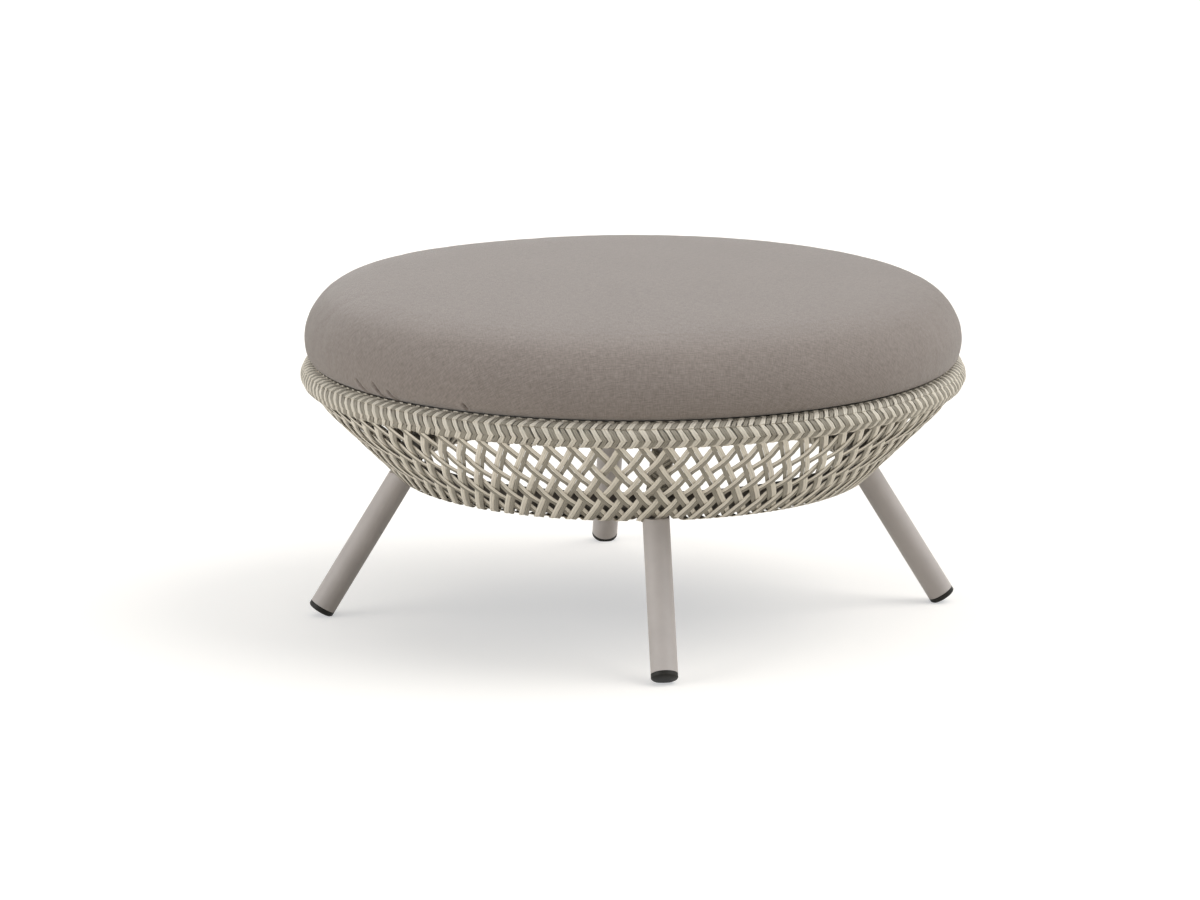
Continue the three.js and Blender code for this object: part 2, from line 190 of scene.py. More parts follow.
class Bench:
    """Modelling moves that several sub-assemblies share."""

    @staticmethod
    def clear() -> None:
        """Leaves nothing selected, so that an operator acts on the new piece alone."""
        bpy.ops.object.select_all(action="DESELECT")
        bpy.context.view_layer.objects.active = None

    @staticmethod
    def choose(piece: Piece) -> None:
        """Makes a piece the only one selected, and the active one.

        Args:
            piece: the piece.
        """
        Bench.clear()
        piece.select_set(True)
        bpy.context.view_layer.objects.active = piece

    @staticmethod
    def named(name: str) -> Piece:
        """Names the piece that an operator has just made, with its place put into its mesh.

        Args:
            name: its name.

        Returns:
            The piece.
        """
        piece = bpy.context.view_layer.objects.active
        piece.name = name
        piece.data.name = name
        bpy.ops.object.transform_apply(location=True, rotation=True, scale=True)
        return piece

    @staticmethod
    @contextmanager
    def editing(piece: Piece) -> Iterator[None]:
        """Edit mode on one piece, with all of it selected.

        Args:
            piece: the piece.

        Returns:
            The context, which leaves edit mode at its end.
        """
        Bench.choose(piece)
        bpy.ops.object.mode_set(mode="EDIT")
        bpy.ops.mesh.select_all(action="SELECT")
        yield
        bpy.ops.object.mode_set(mode="OBJECT")

    @staticmethod
    def apply(piece: Piece, kind: str, **settings: object) -> None:
        """Adds a modifier with its settings to a piece and applies it.

        Args:
            piece: the piece.
            kind: the modifier's type.
            settings: the modifier's settings, by name.
        """
        Bench.choose(piece)
        modifier = piece.modifiers.new(kind, kind)
        for setting, value in settings.items():
            setattr(modifier, setting, value)
        bpy.ops.object.modifier_apply(modifier=modifier.name)

    @staticmethod
    def spun(piece: Piece, steps: int) -> Piece:
        """Turns a piece's outline once round the Z axis and closes it.

        Args:
            piece: the piece.
            steps: how many steps the turn has.

        Returns:
            The piece.
        """
        with Bench.editing(piece):
            bpy.ops.mesh.spin(steps=steps, angle=FULL_TURN, center=(0, 0, 0), axis=(0, 0, 1))
            bpy.ops.mesh.select_all(action="SELECT")
            bpy.ops.mesh.remove_doubles(threshold=MERGE_WITHIN)
            bpy.ops.mesh.normals_make_consistent(inside=False)
        return piece

    @staticmethod
    def ring(name: str, centre: Place, radius: float, sides: int, steps: int) -> Piece:
        """A round bar bent to a ring about the Z axis.

        Args:
            name: its name.
            centre: the middle of its section, as distance from the axis and height.
            radius: the bar's radius.
            sides: how many sides the bar has.
            steps: how many steps the ring has.

        Returns:
            The ring.
        """
        Bench.clear()
        bpy.ops.mesh.primitive_circle_add(
            vertices=sides,
            radius=radius,
            location=(centre[0], 0, centre[1]),
            rotation=(QUARTER_TURN, 0, 0),
        )
        return Bench.spun(Bench.named(name), steps)

    @staticmethod
    def lathed(name: str, outline: Sequence[Place], steps: int) -> Piece:
        """A solid of revolution about the Z axis.

        Args:
            name: the piece's name.
            outline: places in order, either closed on itself or from the axis back to the axis.
            steps: faces round the axis.

        Returns:
            The new piece.
        """
        Bench.clear()
        bpy.ops.mesh.primitive_circle_add(vertices=len(outline))
        piece = Bench.named(name)
        for vertex, (radius, height) in zip(piece.data.vertices, outline):
            vertex.co = (radius, 0, height)
        with Bench.editing(piece):
            bpy.ops.mesh.select_all(action="DESELECT")
            bpy.ops.object.mode_set(mode="OBJECT")
            on_axis = [vertex.co.x < ALMOST_NOTHING for vertex in piece.data.vertices]
            for edge in piece.data.edges:
                edge.select = on_axis[edge.vertices[0]] and on_axis[edge.vertices[1]]
            bpy.ops.object.mode_set(mode="EDIT")
            bpy.ops.mesh.select_mode(type="EDGE")
            bpy.ops.mesh.delete(type="EDGE_FACE")
            bpy.ops.mesh.select_mode(type="VERT")
        return Bench.spun(piece, steps)

    @staticmethod
    def smoothed(piece: Piece, degrees: float = 40) -> Piece:
        """Shades a piece smooth, apart from edges sharper than an angle.

        Args:
            piece: the piece.
            degrees: the angle.

        Returns:
            The piece.
        """
        Bench.choose(piece)
        bpy.ops.object.shade_smooth_by_angle(angle=math.radians(degrees))
        return piece

    @staticmethod
    def copied(piece: Piece, name: str, move: Matrix) -> Piece:
        """A copy of a piece with a mesh of its own, moved within that mesh.

        Args:
            piece: the piece.
            name: the copy's name.
            move: how the copy is moved.

        Returns:
            The copy.
        """
        twin = piece.copy()
        twin.data = piece.data.copy()
        twin.name = name
        twin.data.name = name
        twin.data.transform(move)
        bpy.context.scene.collection.objects.link(twin)
        return twin

    @staticmethod
    def round_legs(piece: Piece, stem: str) -> list[Piece]:
        """A piece made at the right-hand leg and its copies at the others, in the order of LEG_NAMES.

        Args:
            piece: the piece.
            stem: what their names begin with.

        Returns:
            The four pieces.
        """
        return [piece] + [
            Bench.copied(piece, f"{stem}_{name}", Matrix.Rotation(QUARTER_TURN * (i + 1), 4, "Z"))
            for i, name in enumerate(LEG_NAMES[1:])
        ]

    @staticmethod
    def joined(pieces: Sequence[Piece]) -> Piece:
        """Joins pieces into the first of them.

        Args:
            pieces: the pieces.

        Returns:
            The first of them.
        """
        Bench.clear()
        for piece in pieces:
            piece.select_set(True)
        bpy.context.view_layer.objects.active = pieces[0]
        bpy.ops.object.join()
        return pieces[0]

    @staticmethod
    def cut(piece: Piece, cutter: Piece) -> None:
        """Cuts one piece by another, which is then thrown away."""
        Bench.apply(piece, "BOOLEAN", object=cutter, operation="DIFFERENCE", solver="EXACT")
        bpy.data.objects.remove(cutter)


@dataclass
class Station:
    """One cross-section of a strip: its middle, its directions and its size."""

    centre: Vector
    across: Vector
    out: Vector
    half_width: float


# A strip's section from edge to edge over its crowned face and back under it: shares of the half width
# across, and of the thickness outwards.
STRIP_SECTION = ((-1.0, 0.4), (-0.8, 0.9), (0.0, 1.0), (0.8, 0.9), (1.0, 0.4), (0.85, 0.0), (-0.85, 0.0))


class StripBundle:
    """Flat fibre strips gathered into one mesh, with a map that runs across and along each strip."""

    def __init__(self, name: str, thickness: float) -> None:
        """Starts an empty bundle of strips that are all as thick.

        Args:
            name: its name.
            thickness: how thick each strip is.
        """
        self.name = name
        self.thickness = thickness
        self.points: list[Vector] = []
        self.faces: list[tuple[int, ...]] = []
        self.corners: list[Place] = []
        self.shades: list[int] = []

    def add(self, stations: Sequence[Station], shade: Shade, start: float, closed: bool = False) -> None:
        """Adds one strip.

        Args:
            stations: its cross-sections in order.
            shade: which fibre it is.
            start: the distance along the fibre at its first station, which sets its grain.
            closed: whether its last station joins its first.
        """
        first, sides = len(self.points), len(STRIP_SECTION)
        along = [start]
        for before, after in zip(stations, stations[1:]):
            along.append(along[-1] + (after.centre - before.centre).length)
        for station in stations:
            for across, out in STRIP_SECTION:
                self.points.append(
                    station.centre
                    + station.across * (across * station.half_width)
                    + station.out * ((out - 0.5) * self.thickness)
                )
        runs = len(stations) if closed else len(stations) - 1
        for i in range(runs):
            here = first + i * sides
            after = first + ((i + 1) % len(stations)) * sides
            ends = along[i], along[i + 1] if i + 1 < len(along) else along[i] + along[1] - along[0]
            for k in range(sides):
                following = (k + 1) % sides
                self.faces.append((here + k, here + following, after + following, after + k))
                left, right = self.map_across(k), self.map_across(following)
                self.corners += [(left, ends[0]), (right, ends[0]), (right, ends[1]), (left, ends[1])]
                self.shades.append(shade.value)
        if not closed:
            last = first + (len(stations) - 1) * sides
            for ring, order in ((first, range(sides - 1, -1, -1)), (last, range(sides))):
                self.faces.append(tuple(ring + k for k in order))
                self.corners += [(self.map_across(k), along[0]) for k in order]
                self.shades.append(shade.value)

    @staticmethod
    def map_across(side: int) -> float:
        """Where a corner of the section is on the map, from 0 to 1 across the strip."""
        return 0.5 + 0.5 * STRIP_SECTION[side][0]

    def build(self, materials: Sequence[Material], copies: int = 1) -> Piece:
        """Makes the piece.

        Args:
            materials: the light and the grey fibre, in the order of Shade.
            copies: how many times the strips stand round the Z axis, each copy turned evenly.

        Returns:
            The new piece, with its normals made to point outwards.
        """
        mesh = bpy.data.meshes.new(self.name)
        mesh.from_pydata(self.points, [], self.faces)
        layer = mesh.uv_layers.new(name="strip")
        layer.data.foreach_set("uv", [value for corner in self.corners for value in corner])
        mesh.polygons.foreach_set("material_index", self.shades)
        piece = bpy.data.objects.new(self.name, mesh)
        bpy.context.scene.collection.objects.link(piece)
        for material in materials:
            mesh.materials.append(material)
        if copies > 1:
            turns = [Matrix.Rotation(FULL_TURN * i / copies, 4, "Z") for i in range(1, copies)]
            twins = [Bench.copied(piece, f"{self.name}_{i}", turn) for i, turn in enumerate(turns)]
            Bench.joined([piece, *twins])
        with Bench.editing(piece):
            bpy.ops.mesh.normals_make_consistent(inside=False)
        LOG.info("%s: %d faces", self.name, len(piece.data.polygons))
        return Bench.smoothed(piece, degrees=50)


# The scale at which a wave texture has one band in each unit.
BAND_SCALE = FULL_TURN / 20


class Painter:
    """A material's nodes, added and linked one at a time."""

    def __init__(self, name: str) -> None:
        """Starts a material with its usual shader.

        Args:
            name: the material's name.
        """
        self.material = bpy.data.materials.new(name)
        self.material.use_nodes = True
        self.nodes = self.material.node_tree.nodes
        self.links = self.material.node_tree.links
        self.shader = self.nodes["Principled BSDF"]

    def add(self, kind: str, **inputs: object) -> bpy.types.Node:
        """Adds a node and sets inputs by name, with underscores for blanks.

        Args:
            kind: the node's type, after ShaderNode.
            inputs: numbers, colours or sockets for its inputs.

        Returns:
            The node.
        """
        made = self.nodes.new(kind)
        for name, value in inputs.items():
            made.inputs[name.replace("_", " ")].default_value = value
        return made

    def join(self, source: Socket, target: Socket) -> None:
        """Links an output to an input."""
        self.links.new(source, target)

    def coordinates(self, scale: Direction, layer: str | None = None) -> Socket:
        """Object coordinates, or those of a named map, times a scale for each axis.

        Args:
            scale: the scale for each axis.
            layer: the map's name.

        Returns:
            The vector.
        """
        if layer is None:
            source = self.add("ShaderNodeTexCoord").outputs["Object"]
        else:
            map_node = self.add("ShaderNodeUVMap")
            map_node.uv_map = layer
            source = map_node.outputs["UV"]
        mapping = self.add("ShaderNodeMapping", Scale=scale)
        self.join(source, mapping.inputs["Vector"])
        return mapping.outputs["Vector"]

    def noise(self, vector: Socket, detail: float = 2.0) -> Socket:
        """Noise of scale 1 on a vector.

        Args:
            vector: the vector.
            detail: how many finer layers it has.

        Returns:
            Its value, from 0 to 1.
        """
        made = self.add("ShaderNodeTexNoise", Scale=1.0, Detail=detail, Roughness=0.55)
        self.join(vector, made.inputs["Vector"])
        return made.outputs["Fac"]

    def bands(self, vector: Socket, direction: str) -> Socket:
        """Even bands across one axis, one for each unit of the vector.

        Args:
            vector: the vector.
            direction: the axis, as X, Y or Z.

        Returns:
            Their value, from 0 to 1.
        """
        made = self.add("ShaderNodeTexWave", Scale=BAND_SCALE, Distortion=0.0)
        made.bands_direction = direction
        self.join(vector, made.inputs["Vector"])
        return made.outputs["Fac"]

    def math(self, operation: str, first: Socket, second: Socket | float) -> Socket:
        """One sum of two values.

        Args:
            operation: the kind of sum.
            first: the first value.
            second: the second value.

        Returns:
            The result.
        """
        made = self.add("ShaderNodeMath")
        made.operation = operation
        self.join(first, made.inputs[0])
        if isinstance(second, (int, float)):
            made.inputs[1].default_value = second
        else:
            self.join(second, made.inputs[1])
        return made.outputs["Value"]

    def mixed(self, *shares: tuple[Socket, float]) -> Socket:
        """Adds up values, each times its share.

        Args:
            shares: each value with its share.

        Returns:
            The sum.
        """
        total, *others = [self.math("MULTIPLY", value, share) for value, share in shares]
        for other in others:
            total = self.math("ADD", total, other)
        return total

    def tones(self, factor: Socket, colour: Colour, stops: Sequence[Place]) -> None:
        """Gives the shader darker and lighter tones of a colour along a ramp.

        Args:
            factor: the value that picks a tone.
            colour: the colour at a tone of 1.
            stops: values in order, each with its tone.
        """
        made = self.add("ShaderNodeValToRGB")
        ramp = made.color_ramp
        while len(ramp.elements) < len(stops):
            ramp.elements.new(0.5)
        for element, (position, tone) in zip(ramp.elements, stops):
            element.position = position
            element.color = (*(channel * tone for channel in colour), 1)
        self.join(factor, made.inputs["Fac"])
        self.join(made.outputs["Color"], self.shader.inputs["Base Color"])

    def bump(self, height: Socket, strength: float, distance: float) -> None:
        """Gives the shader a bump from a height.

        Args:
            height: the height.
            strength: how much of the bump is kept.
            distance: how far a height of 1 stands out.
        """
        made = self.add("ShaderNodeBump", Strength=strength, Distance=distance)
        self.join(height, made.inputs["Height"])
        self.join(made.outputs["Normal"], self.shader.inputs["Normal"])

    def settings(self, **values: float) -> None:
        """Sets the shader's own sockets by name, with underscores for blanks."""
        for name, value in values.items():
            self.shader.inputs[name.replace("_", " ")].default_value = value


@dataclass(frozen=True)
class Fibre:
    """Flat synthetic fibre with fine ribs along it and a faint change of tone."""

    name: str
    colour: Colour
    ribs: float = 2.0
    streaks: Place = (16, 9)
    tone_width: float = 0.3
    tone_length: float = 0.03
    streak_share: float = 0.45
    tone_share: float = 0.35
    rib_share: float = 0.2
    stops: tuple[Place, ...] = ((0.3, 0.76), (0.5, 1.0), (0.68, 1.1))

    def material(self) -> Material:
        """Makes the fibre's material, on the map of its strips.

        Returns:
            The material.
        """
        paint = Painter(self.name)
        streaks = paint.noise(paint.coordinates((*self.streaks, 1), "strip"), detail=3)
        slow = paint.coordinates((self.tone_width, 1 / self.tone_length, 1), "strip")
        tone = paint.noise(slow, detail=1)
        ribs = paint.bands(paint.coordinates((self.ribs, 1, 1), "strip"), "X")
        mixed = paint.mixed((streaks, self.streak_share), (tone, self.tone_share), (ribs, self.rib_share))
        paint.tones(mixed, self.colour, self.stops)
        paint.bump(paint.math("ADD", ribs, streaks), strength=0.6, distance=0.0004)
        paint.settings(Roughness=0.6, Specular_IOR_Level=0.35)
        return paint.material


@dataclass(frozen=True)
class HardSurface:
    """A hard surface with faint clouds of tone and a fine grain."""

    name: str
    colour: Colour
    stops: tuple[Place, ...]
    clouds_per_metre: float
    cloud_detail: float
    grains_per_metre: float
    grain_detail: float
    grain_strength: float
    gloss: float
    grain_depth: float = 0.0001
    roughness: float = 0.5

    def material(self) -> Material:
        """Makes the surface's material, on object coordinates.

        Returns:
            The material.
        """
        paint = Painter(self.name)
        clouds = paint.noise(paint.coordinates((self.clouds_per_metre,) * 3), self.cloud_detail)
        paint.tones(clouds, self.colour, self.stops)
        grain = paint.noise(paint.coordinates((self.grains_per_metre,) * 3), self.grain_detail)
        paint.bump(grain, self.grain_strength, self.grain_depth)
        paint.settings(Roughness=self.roughness, Specular_IOR_Level=self.gloss)
        return paint.material


@dataclass(frozen=True)
class PowderCoat(HardSurface):
    """Satin powder coat: one colour with a fine orange peel and faint dusting."""

    stops: tuple[Place, ...] = ((0.25, 0.95), (0.75, 1.04))
    clouds_per_metre: float = 35
    cloud_detail: float = 3
    grains_per_metre: float = 1400
    grain_detail: float = 2
    grain_strength: float = 0.35
    gloss: float = 0.45


@dataclass(frozen=True)
class Plastic(HardSurface):
    """Moulded plastic with scuffs and a fine spark-eroded grain."""

    stops: tuple[Place, ...] = ((0.4, 1.0), (0.75, 1.8))
    clouds_per_metre: float = 180
    cloud_detail: float = 4
    grains_per_metre: float = 2600
    grain_detail: float = 1
    grain_strength: float = 0.4
    gloss: float = 0.25


@dataclass(frozen=True)
class Webbing:
    """Woven elastic strap with ribs across it."""

    name: str
    colour: Colour
    rib: float = 0.0018
    fuzz_per_metre: float = 420
    stops: tuple[Place, ...] = ((0.2, 0.6), (0.7, 1.35))

    def material(self) -> Material:
        """Makes the strap's material, on object coordinates.

        Returns:
            The material.
        """
        paint = Painter(self.name)
        lines = paint.coordinates((1 / self.rib,) * 3)
        weave = paint.math("MULTIPLY", paint.bands(lines, "X"), paint.bands(lines, "Y"))
        fuzz = paint.noise(paint.coordinates((self.fuzz_per_metre,) * 3), detail=3)
        paint.tones(paint.mixed((weave, 0.5), (fuzz, 0.5)), self.colour, self.stops)
        paint.bump(weave, strength=0.7, distance=0.0004)
        paint.settings(Roughness=0.9, Specular_IOR_Level=0.2)
        return paint.material


@dataclass(frozen=True)
class Fabric:
    """Plain-woven outdoor fabric of yarns in slightly different tones, on the map of the cushion."""

    name: str
    colour: Colour
    yarn: float = 0.0016
    yarn_aspect: float = 6
    weft_share: float = 0.52
    warp_share: float = 0.4
    cloud_share: float = 0.08
    clouds_per_metre: float = 9
    stops: tuple[Place, ...] = ((0.37, 0.8), (0.5, 1.0), (0.63, 1.2))

    def material(self) -> Material:
        """Makes the fabric's material.

        Returns:
            The material.
        """
        paint = Painter(self.name)
        fine = 1 / self.yarn
        long = fine / self.yarn_aspect
        weft = paint.noise(paint.coordinates((long, fine, 1), "cloth"), detail=2)
        warp = paint.noise(paint.coordinates((fine, long, 1), "cloth"), detail=2)
        clouds = paint.coordinates((self.clouds_per_metre, self.clouds_per_metre, 1), "cloth")
        cloud = paint.math("MULTIPLY", paint.noise(clouds, detail=2), self.cloud_share)
        yarns = paint.mixed((weft, self.weft_share), (warp, self.warp_share))
        paint.tones(paint.math("ADD", yarns, cloud), self.colour, self.stops)
        threads = paint.coordinates((fine, fine, 1), "cloth")
        weave = paint.math("MULTIPLY", paint.bands(threads, "X"), paint.bands(threads, "Y"))
        paint.bump(paint.math("ADD", weave, yarns), strength=0.55, distance=0.0004)
        paint.settings(Roughness=0.95, Specular_IOR_Level=0.15, Sheen_Weight=0.4, Sheen_Roughness=0.45)
        return paint.material


def from_finish(finish: Fibre | HardSurface | Webbing | Fabric) -> Material:
    """A field of the palette whose material is made with the palette."""
    return field(default_factory=finish.material)


@dataclass
class Palette:
    """The materials of the ottoman, each made once."""

    light_fibre: Material = from_finish(Fibre("light_fibre", (0.88, 0.82, 0.705)))
    grey_fibre: Material = from_finish(Fibre("grey_fibre", (0.37, 0.339, 0.278)))
    light_braid: Material = from_finish(Fibre("light_braid_fibre", (0.76, 0.707, 0.605)))
    grey_braid: Material = from_finish(Fibre("grey_braid_fibre", (0.35, 0.32, 0.262)))
    coat: Material = from_finish(PowderCoat("powder_coat", (0.53, 0.49, 0.466)))
    # The base ring's coat: the legs' powder coat darkened as painted shade, for the shade that falls on the
    # ring under the weave and the cushion.
    ring_coat_painted_shade: Material = from_finish(PowderCoat("powder_coat_painted_shade", (0.24, 0.218, 0.19)))
    plastic: Material = from_finish(Plastic("black_plastic", (0.011, 0.01, 0.0075)))
    strap: Material = from_finish(Webbing("strap_webbing", (0.07, 0.065, 0.06)))
    fabric: Material = from_finish(Fabric("cushion_fabric", (0.287, 0.248, 0.223)))

    @property
    def fibres(self) -> list[Material]:
        """The two fibres in the order of Shade."""
        return [self.light_fibre, self.grey_fibre]

    @property
    def braids(self) -> list[Material]:
        """The two fibres of the rim's braid, in the same order."""
        return [self.light_braid, self.grey_braid]


def finished(
    piece: Piece,
    body: str,
    nodes: Sequence[str],
    material: Material | None = None,
) -> Piece:
    """Dresses a piece and ties it to the frame.

    Args:
        piece: the new piece.
        body: the body that it rides on.
        nodes: the CAD nodes that it stands for.
        material: its only material, or None where it has its own already.

    Returns:
        The piece.
    """
    if material is not None:
        piece.data.materials.clear()
        piece.data.materials.append(material)
    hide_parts(*nodes)
    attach(piece, body)
    LOG.info("%s stands for %s", piece.name, ", ".join(nodes))
    return piece


@dataclass
class WovenWall:
    """The open lattice between the base ring and the rim, in strands of two strips side by side."""

    shape: BasketShape
    strands: int = 88
    first_radius: float = 0.3112
    row_ratio: float = 1.053
    light_width: float = 0.0068
    grey_width: float = 0.0055
    strip_gap: float = 0.0003
    strip_thickness: float = 0.0011
    lift: float = 0.0011
    lift_squareness: float = 1.6
    stand_off: float = 0.0027
    stand_off_ends: Place = (0.135, 0.165)
    top_rise: float = 0.1725
    lift_fade: float = 0.007
    leg_stop: float = 0.001
    steps_per_row: int = 4
    wrap_angle: float = math.radians(150)
    wrap_steps: int = 8
    leg_clearance: float = 0.0245
    phase: float = 0.0114
    seed: int = 7

    def row_at(self, rise: float) -> float:
        """The row of crossings, as a number with a fraction, at a rise. Rows keep the braid's angle."""
        radius = self.shape.on_wall(rise, 0)[0]
        return math.log(radius / self.first_radius) / math.log(self.row_ratio)

    def rise_at(self, row: float) -> float:
        """The rise of a row of crossings."""
        radius = self.first_radius * self.row_ratio**row
        return (radius - self.shape.on_wall(0, 0)[0]) / self.shape.up[0]

    def lift_at(self, row: float, rise: float, lean: Lean) -> float:
        """How far a strand's middle stands out from the wall, over one and under one.

        Args:
            row: how far along the strand it is, in rows of crossings.
            rise: how far up the wall it is.
            lean: the way the strand leans.

        Returns:
            The distance.
        """
        wave = -math.cos(HALF_TURN * max(row, 1.0))
        square = math.tanh(self.lift_squareness * wave) / math.tanh(self.lift_squareness)
        fade = 1 - smooth_step(self.top_rise - self.lift_fade, self.top_rise, rise)
        off = self.stand_off * (1 - smooth_step(*self.stand_off_ends, rise))
        return off + lean.value * self.lift * square * fade

    def line(self, index: int, lean: Lean) -> list[tuple[Vector, Vector]]:
        """The middle line of one strand, from the rim down and round the base ring.

        Args:
            index: which strand of its quarter.
            lean: which way it climbs.

        Returns:
            Points and outward directions. It stops where a leg is in its way.
        """
        step = HALF_TURN / self.strands
        start = 2 * step * index + self.phase
        top = self.row_at(self.top_rise)
        foot = self.row_at(self.shape.base_rise)
        line = []
        azimuth = start
        count = round((top - foot) * self.steps_per_row)
        for i in range(count + 1):
            row = top + (foot - top) * i / count
            azimuth = start + lean.value * row * step
            rise = self.rise_at(row)
            place = self.shape.on_wall(rise, self.lift_at(row, rise, lean))
            line.append((turned(place, azimuth), turned(self.shape.out, azimuth)))
        if self.meets_leg(azimuth, line[-1][0]):
            place = self.shape.on_wall(self.leg_stop, self.lift_at(0, self.leg_stop, lean))
            azimuth = start + lean.value * self.row_at(self.leg_stop) * step
            line.append((turned(place, azimuth), turned(self.shape.out, azimuth)))
            return line
        centre = self.shape.base
        first = math.atan2(self.shape.out[1], self.shape.out[0])
        radius = self.shape.wall_from_base + self.lift_at(0, 0, lean)
        turn_rate = step * self.shape.up[0] / math.log(self.row_ratio)
        arc = radius * self.wrap_angle / self.wrap_steps
        for i in range(1, self.wrap_steps + 1):
            angle = first - self.wrap_angle * i / self.wrap_steps
            place = round_place(centre, radius, angle)
            azimuth -= lean.value * turn_rate * arc / place[0]
            point = turned(place, azimuth)
            if self.meets_leg(azimuth, point):
                break
            line.append((point, turned((math.cos(angle), math.sin(angle)), azimuth)))
        return line

    def meets_leg(self, azimuth: float, point: Vector) -> bool:
        """Whether a point at an azimuth is where a leg comes up to the base ring."""
        away = abs((azimuth + QUARTER_TURN / 2) % QUARTER_TURN - QUARTER_TURN / 2)
        return away * point.xy.length < self.leg_clearance

    def strips(self, line: Sequence[tuple[Vector, Vector]]) -> list[list[Station]]:
        """The upper and the lower strip of a strand, as stations on either side of its middle line.

        Args:
            line: the strand's middle line.

        Returns:
            The stations of the two strips.
        """
        upper, lower = [], []
        light, grey = self.light_width / 2, self.grey_width / 2
        light_offset = grey + self.strip_gap / 2
        grey_offset = light + self.strip_gap / 2
        for i, (point, out) in enumerate(line):
            before = line[max(i - 1, 0)][0]
            after = line[min(i + 1, len(line) - 1)][0]
            along = (after - before).normalized()
            square = (out - along * out.dot(along)).normalized()
            across = square.cross(along)
            if i == 0:
                flip = -1 if across.z < 0 else 1
            across *= flip
            upper.append(Station(point + across * light_offset, across, square, light))
            lower.append(Station(point - across * grey_offset, across, square, grey))
        return [upper, lower]

    def build(self, palette: Palette) -> None:
        """Makes the strands of each lean as one piece.

        Args:
            palette: the materials.
        """
        rng = random.Random(self.seed)
        for lean, node in ((Lean.RISING, "wall_strand_1"), (Lean.FALLING, "wall_strand_2")):
            bundle = StripBundle(f"wall_strands_{lean.name.lower()}", self.strip_thickness)
            for index in range(self.strands // QUARTERS):
                upper, lower = self.strips(self.line(index, lean))
                bundle.add(upper, Shade.LIGHT, anywhere(rng))
                bundle.add(lower, Shade.GREY, anywhere(rng))
            finished(bundle.build(palette.fibres, QUARTERS), "frame", [node])


@dataclass
class ZigzagBraid:
    """The braid that covers the rim and the ribs: strips side by side that change lean at each row."""

    strip_width: float = 0.00785
    fill: float = 0.95
    thickness: float = 0.0021
    row_shift: float = 0.0091
    shingle: float = 0.0006
    bulge: float = 0.0003
    grey_dive: float = 0.0009
    unevenness: float = 0.24
    loose: float = 0.0002
    row_shares: tuple[float, ...] = (0.0, 0.14, 0.5, 0.86, 1.0)

    def shift(self, row: float) -> float:
        """How far a strip has moved along the tube at a row, as it leans one way and then the other."""
        share = row % 2
        return self.row_shift * (share if share < 1 else 2 - share)

    def relief(self, share: float, shade: Shade) -> float:
        """How far a strip stands out within its row.

        Args:
            share: how far through the row the place is, from its lower to its upper end.
            shade: which fibre it is. The grey one dives deeper where it turns.

        Returns:
            The distance outwards. A lower end lies over the row below, and an upper end under the row above.
        """
        bulge = self.bulge * math.sin(HALF_TURN * share)
        dive = self.grey_dive * (1 - math.sin(HALF_TURN * share)) if shade is Shade.GREY else 0.0
        return self.shingle * (1 - 2 * share) + bulge - dive


@dataclass
class Rim:
    """The rim tube and the braid round it."""

    shape: BasketShape
    braid: ZigzagBraid = field(default_factory=ZigzagBraid)
    pairs: int = 176
    row_angle: float = math.radians(52)
    first_valley: float = math.radians(-66)
    outer_rows: Place = (math.radians(-72), math.radians(148))
    inner_rows: Place = (math.radians(-168), math.radians(-98))
    tuck: float = 0.0024
    tuck_ends: Place = (math.radians(-78), math.radians(-48))
    seed: int = 11

    def stations(self, azimuth: float, edges: Place, shade: Shade, rng: random.Random) -> list[Station]:
        """One strip of the braid round part of the tube.

        Args:
            azimuth: where it stands.
            edges: the angles on the tube's section between which it runs.
            shade: which fibre it is.
            rng: for the unevenness of hand work.

        Returns:
            Its stations, from below to above.
        """
        made = []
        back = self.shape.braid_radius - self.braid.thickness / 2
        outer = self.shape.rim_radius + self.shape.braid_radius
        half_angle = self.braid.fill * FULL_TURN / (4 * self.pairs)
        row = math.floor((edges[0] - self.first_valley) / self.row_angle)
        while self.first_valley + row * self.row_angle < edges[1]:
            stray = rng.uniform(-1, 1) * self.braid.unevenness * half_angle / 2
            for share in self.braid.row_shares:
                width = half_angle * (1 + rng.uniform(-1, 1) * self.braid.unevenness)
                angle = self.first_valley + (row + share) * self.row_angle
                if not edges[0] <= angle <= edges[1]:
                    continue
                tucked = self.tuck * (1 - smooth_step(*self.tuck_ends, angle))
                raised = self.braid.relief(share, shade) + rng.uniform(-1, 1) * self.braid.loose
                place = round_place(self.shape.rim, back - tucked + raised, angle)
                turn = azimuth + stray + self.braid.shift(row + share) / outer
                out = turned((math.cos(angle), math.sin(angle)), turn)
                side = Vector((-math.sin(turn), math.cos(turn), 0))
                made.append(Station(turned(place, turn), side, out, width * place[0]))
            row += 1
        return made

    def build(self, palette: Palette) -> None:
        """Makes the tube and the braid.

        Args:
            palette: the materials.
        """
        shape = self.shape
        radius = shape.rim_tube_radius
        tube = Bench.ring("rim_tube_round", shape.rim, radius, shape.tube_sides, shape.tube_steps)
        finished(Bench.smoothed(tube), "frame", ["rim_tube"], palette.coat)
        rng = random.Random(self.seed)
        bundle = StripBundle("rim_braid_strips", self.braid.thickness)
        for i in range(2 * self.pairs // QUARTERS):
            azimuth = FULL_TURN * i / (2 * self.pairs)
            shade = Shade(i % 2)
            for edges in (self.outer_rows, self.inner_rows):
                bundle.add(self.stations(azimuth, edges, shade, rng), shade, anywhere(rng))
        finished(bundle.build(palette.braids, QUARTERS), "frame", ["rim_braid"])


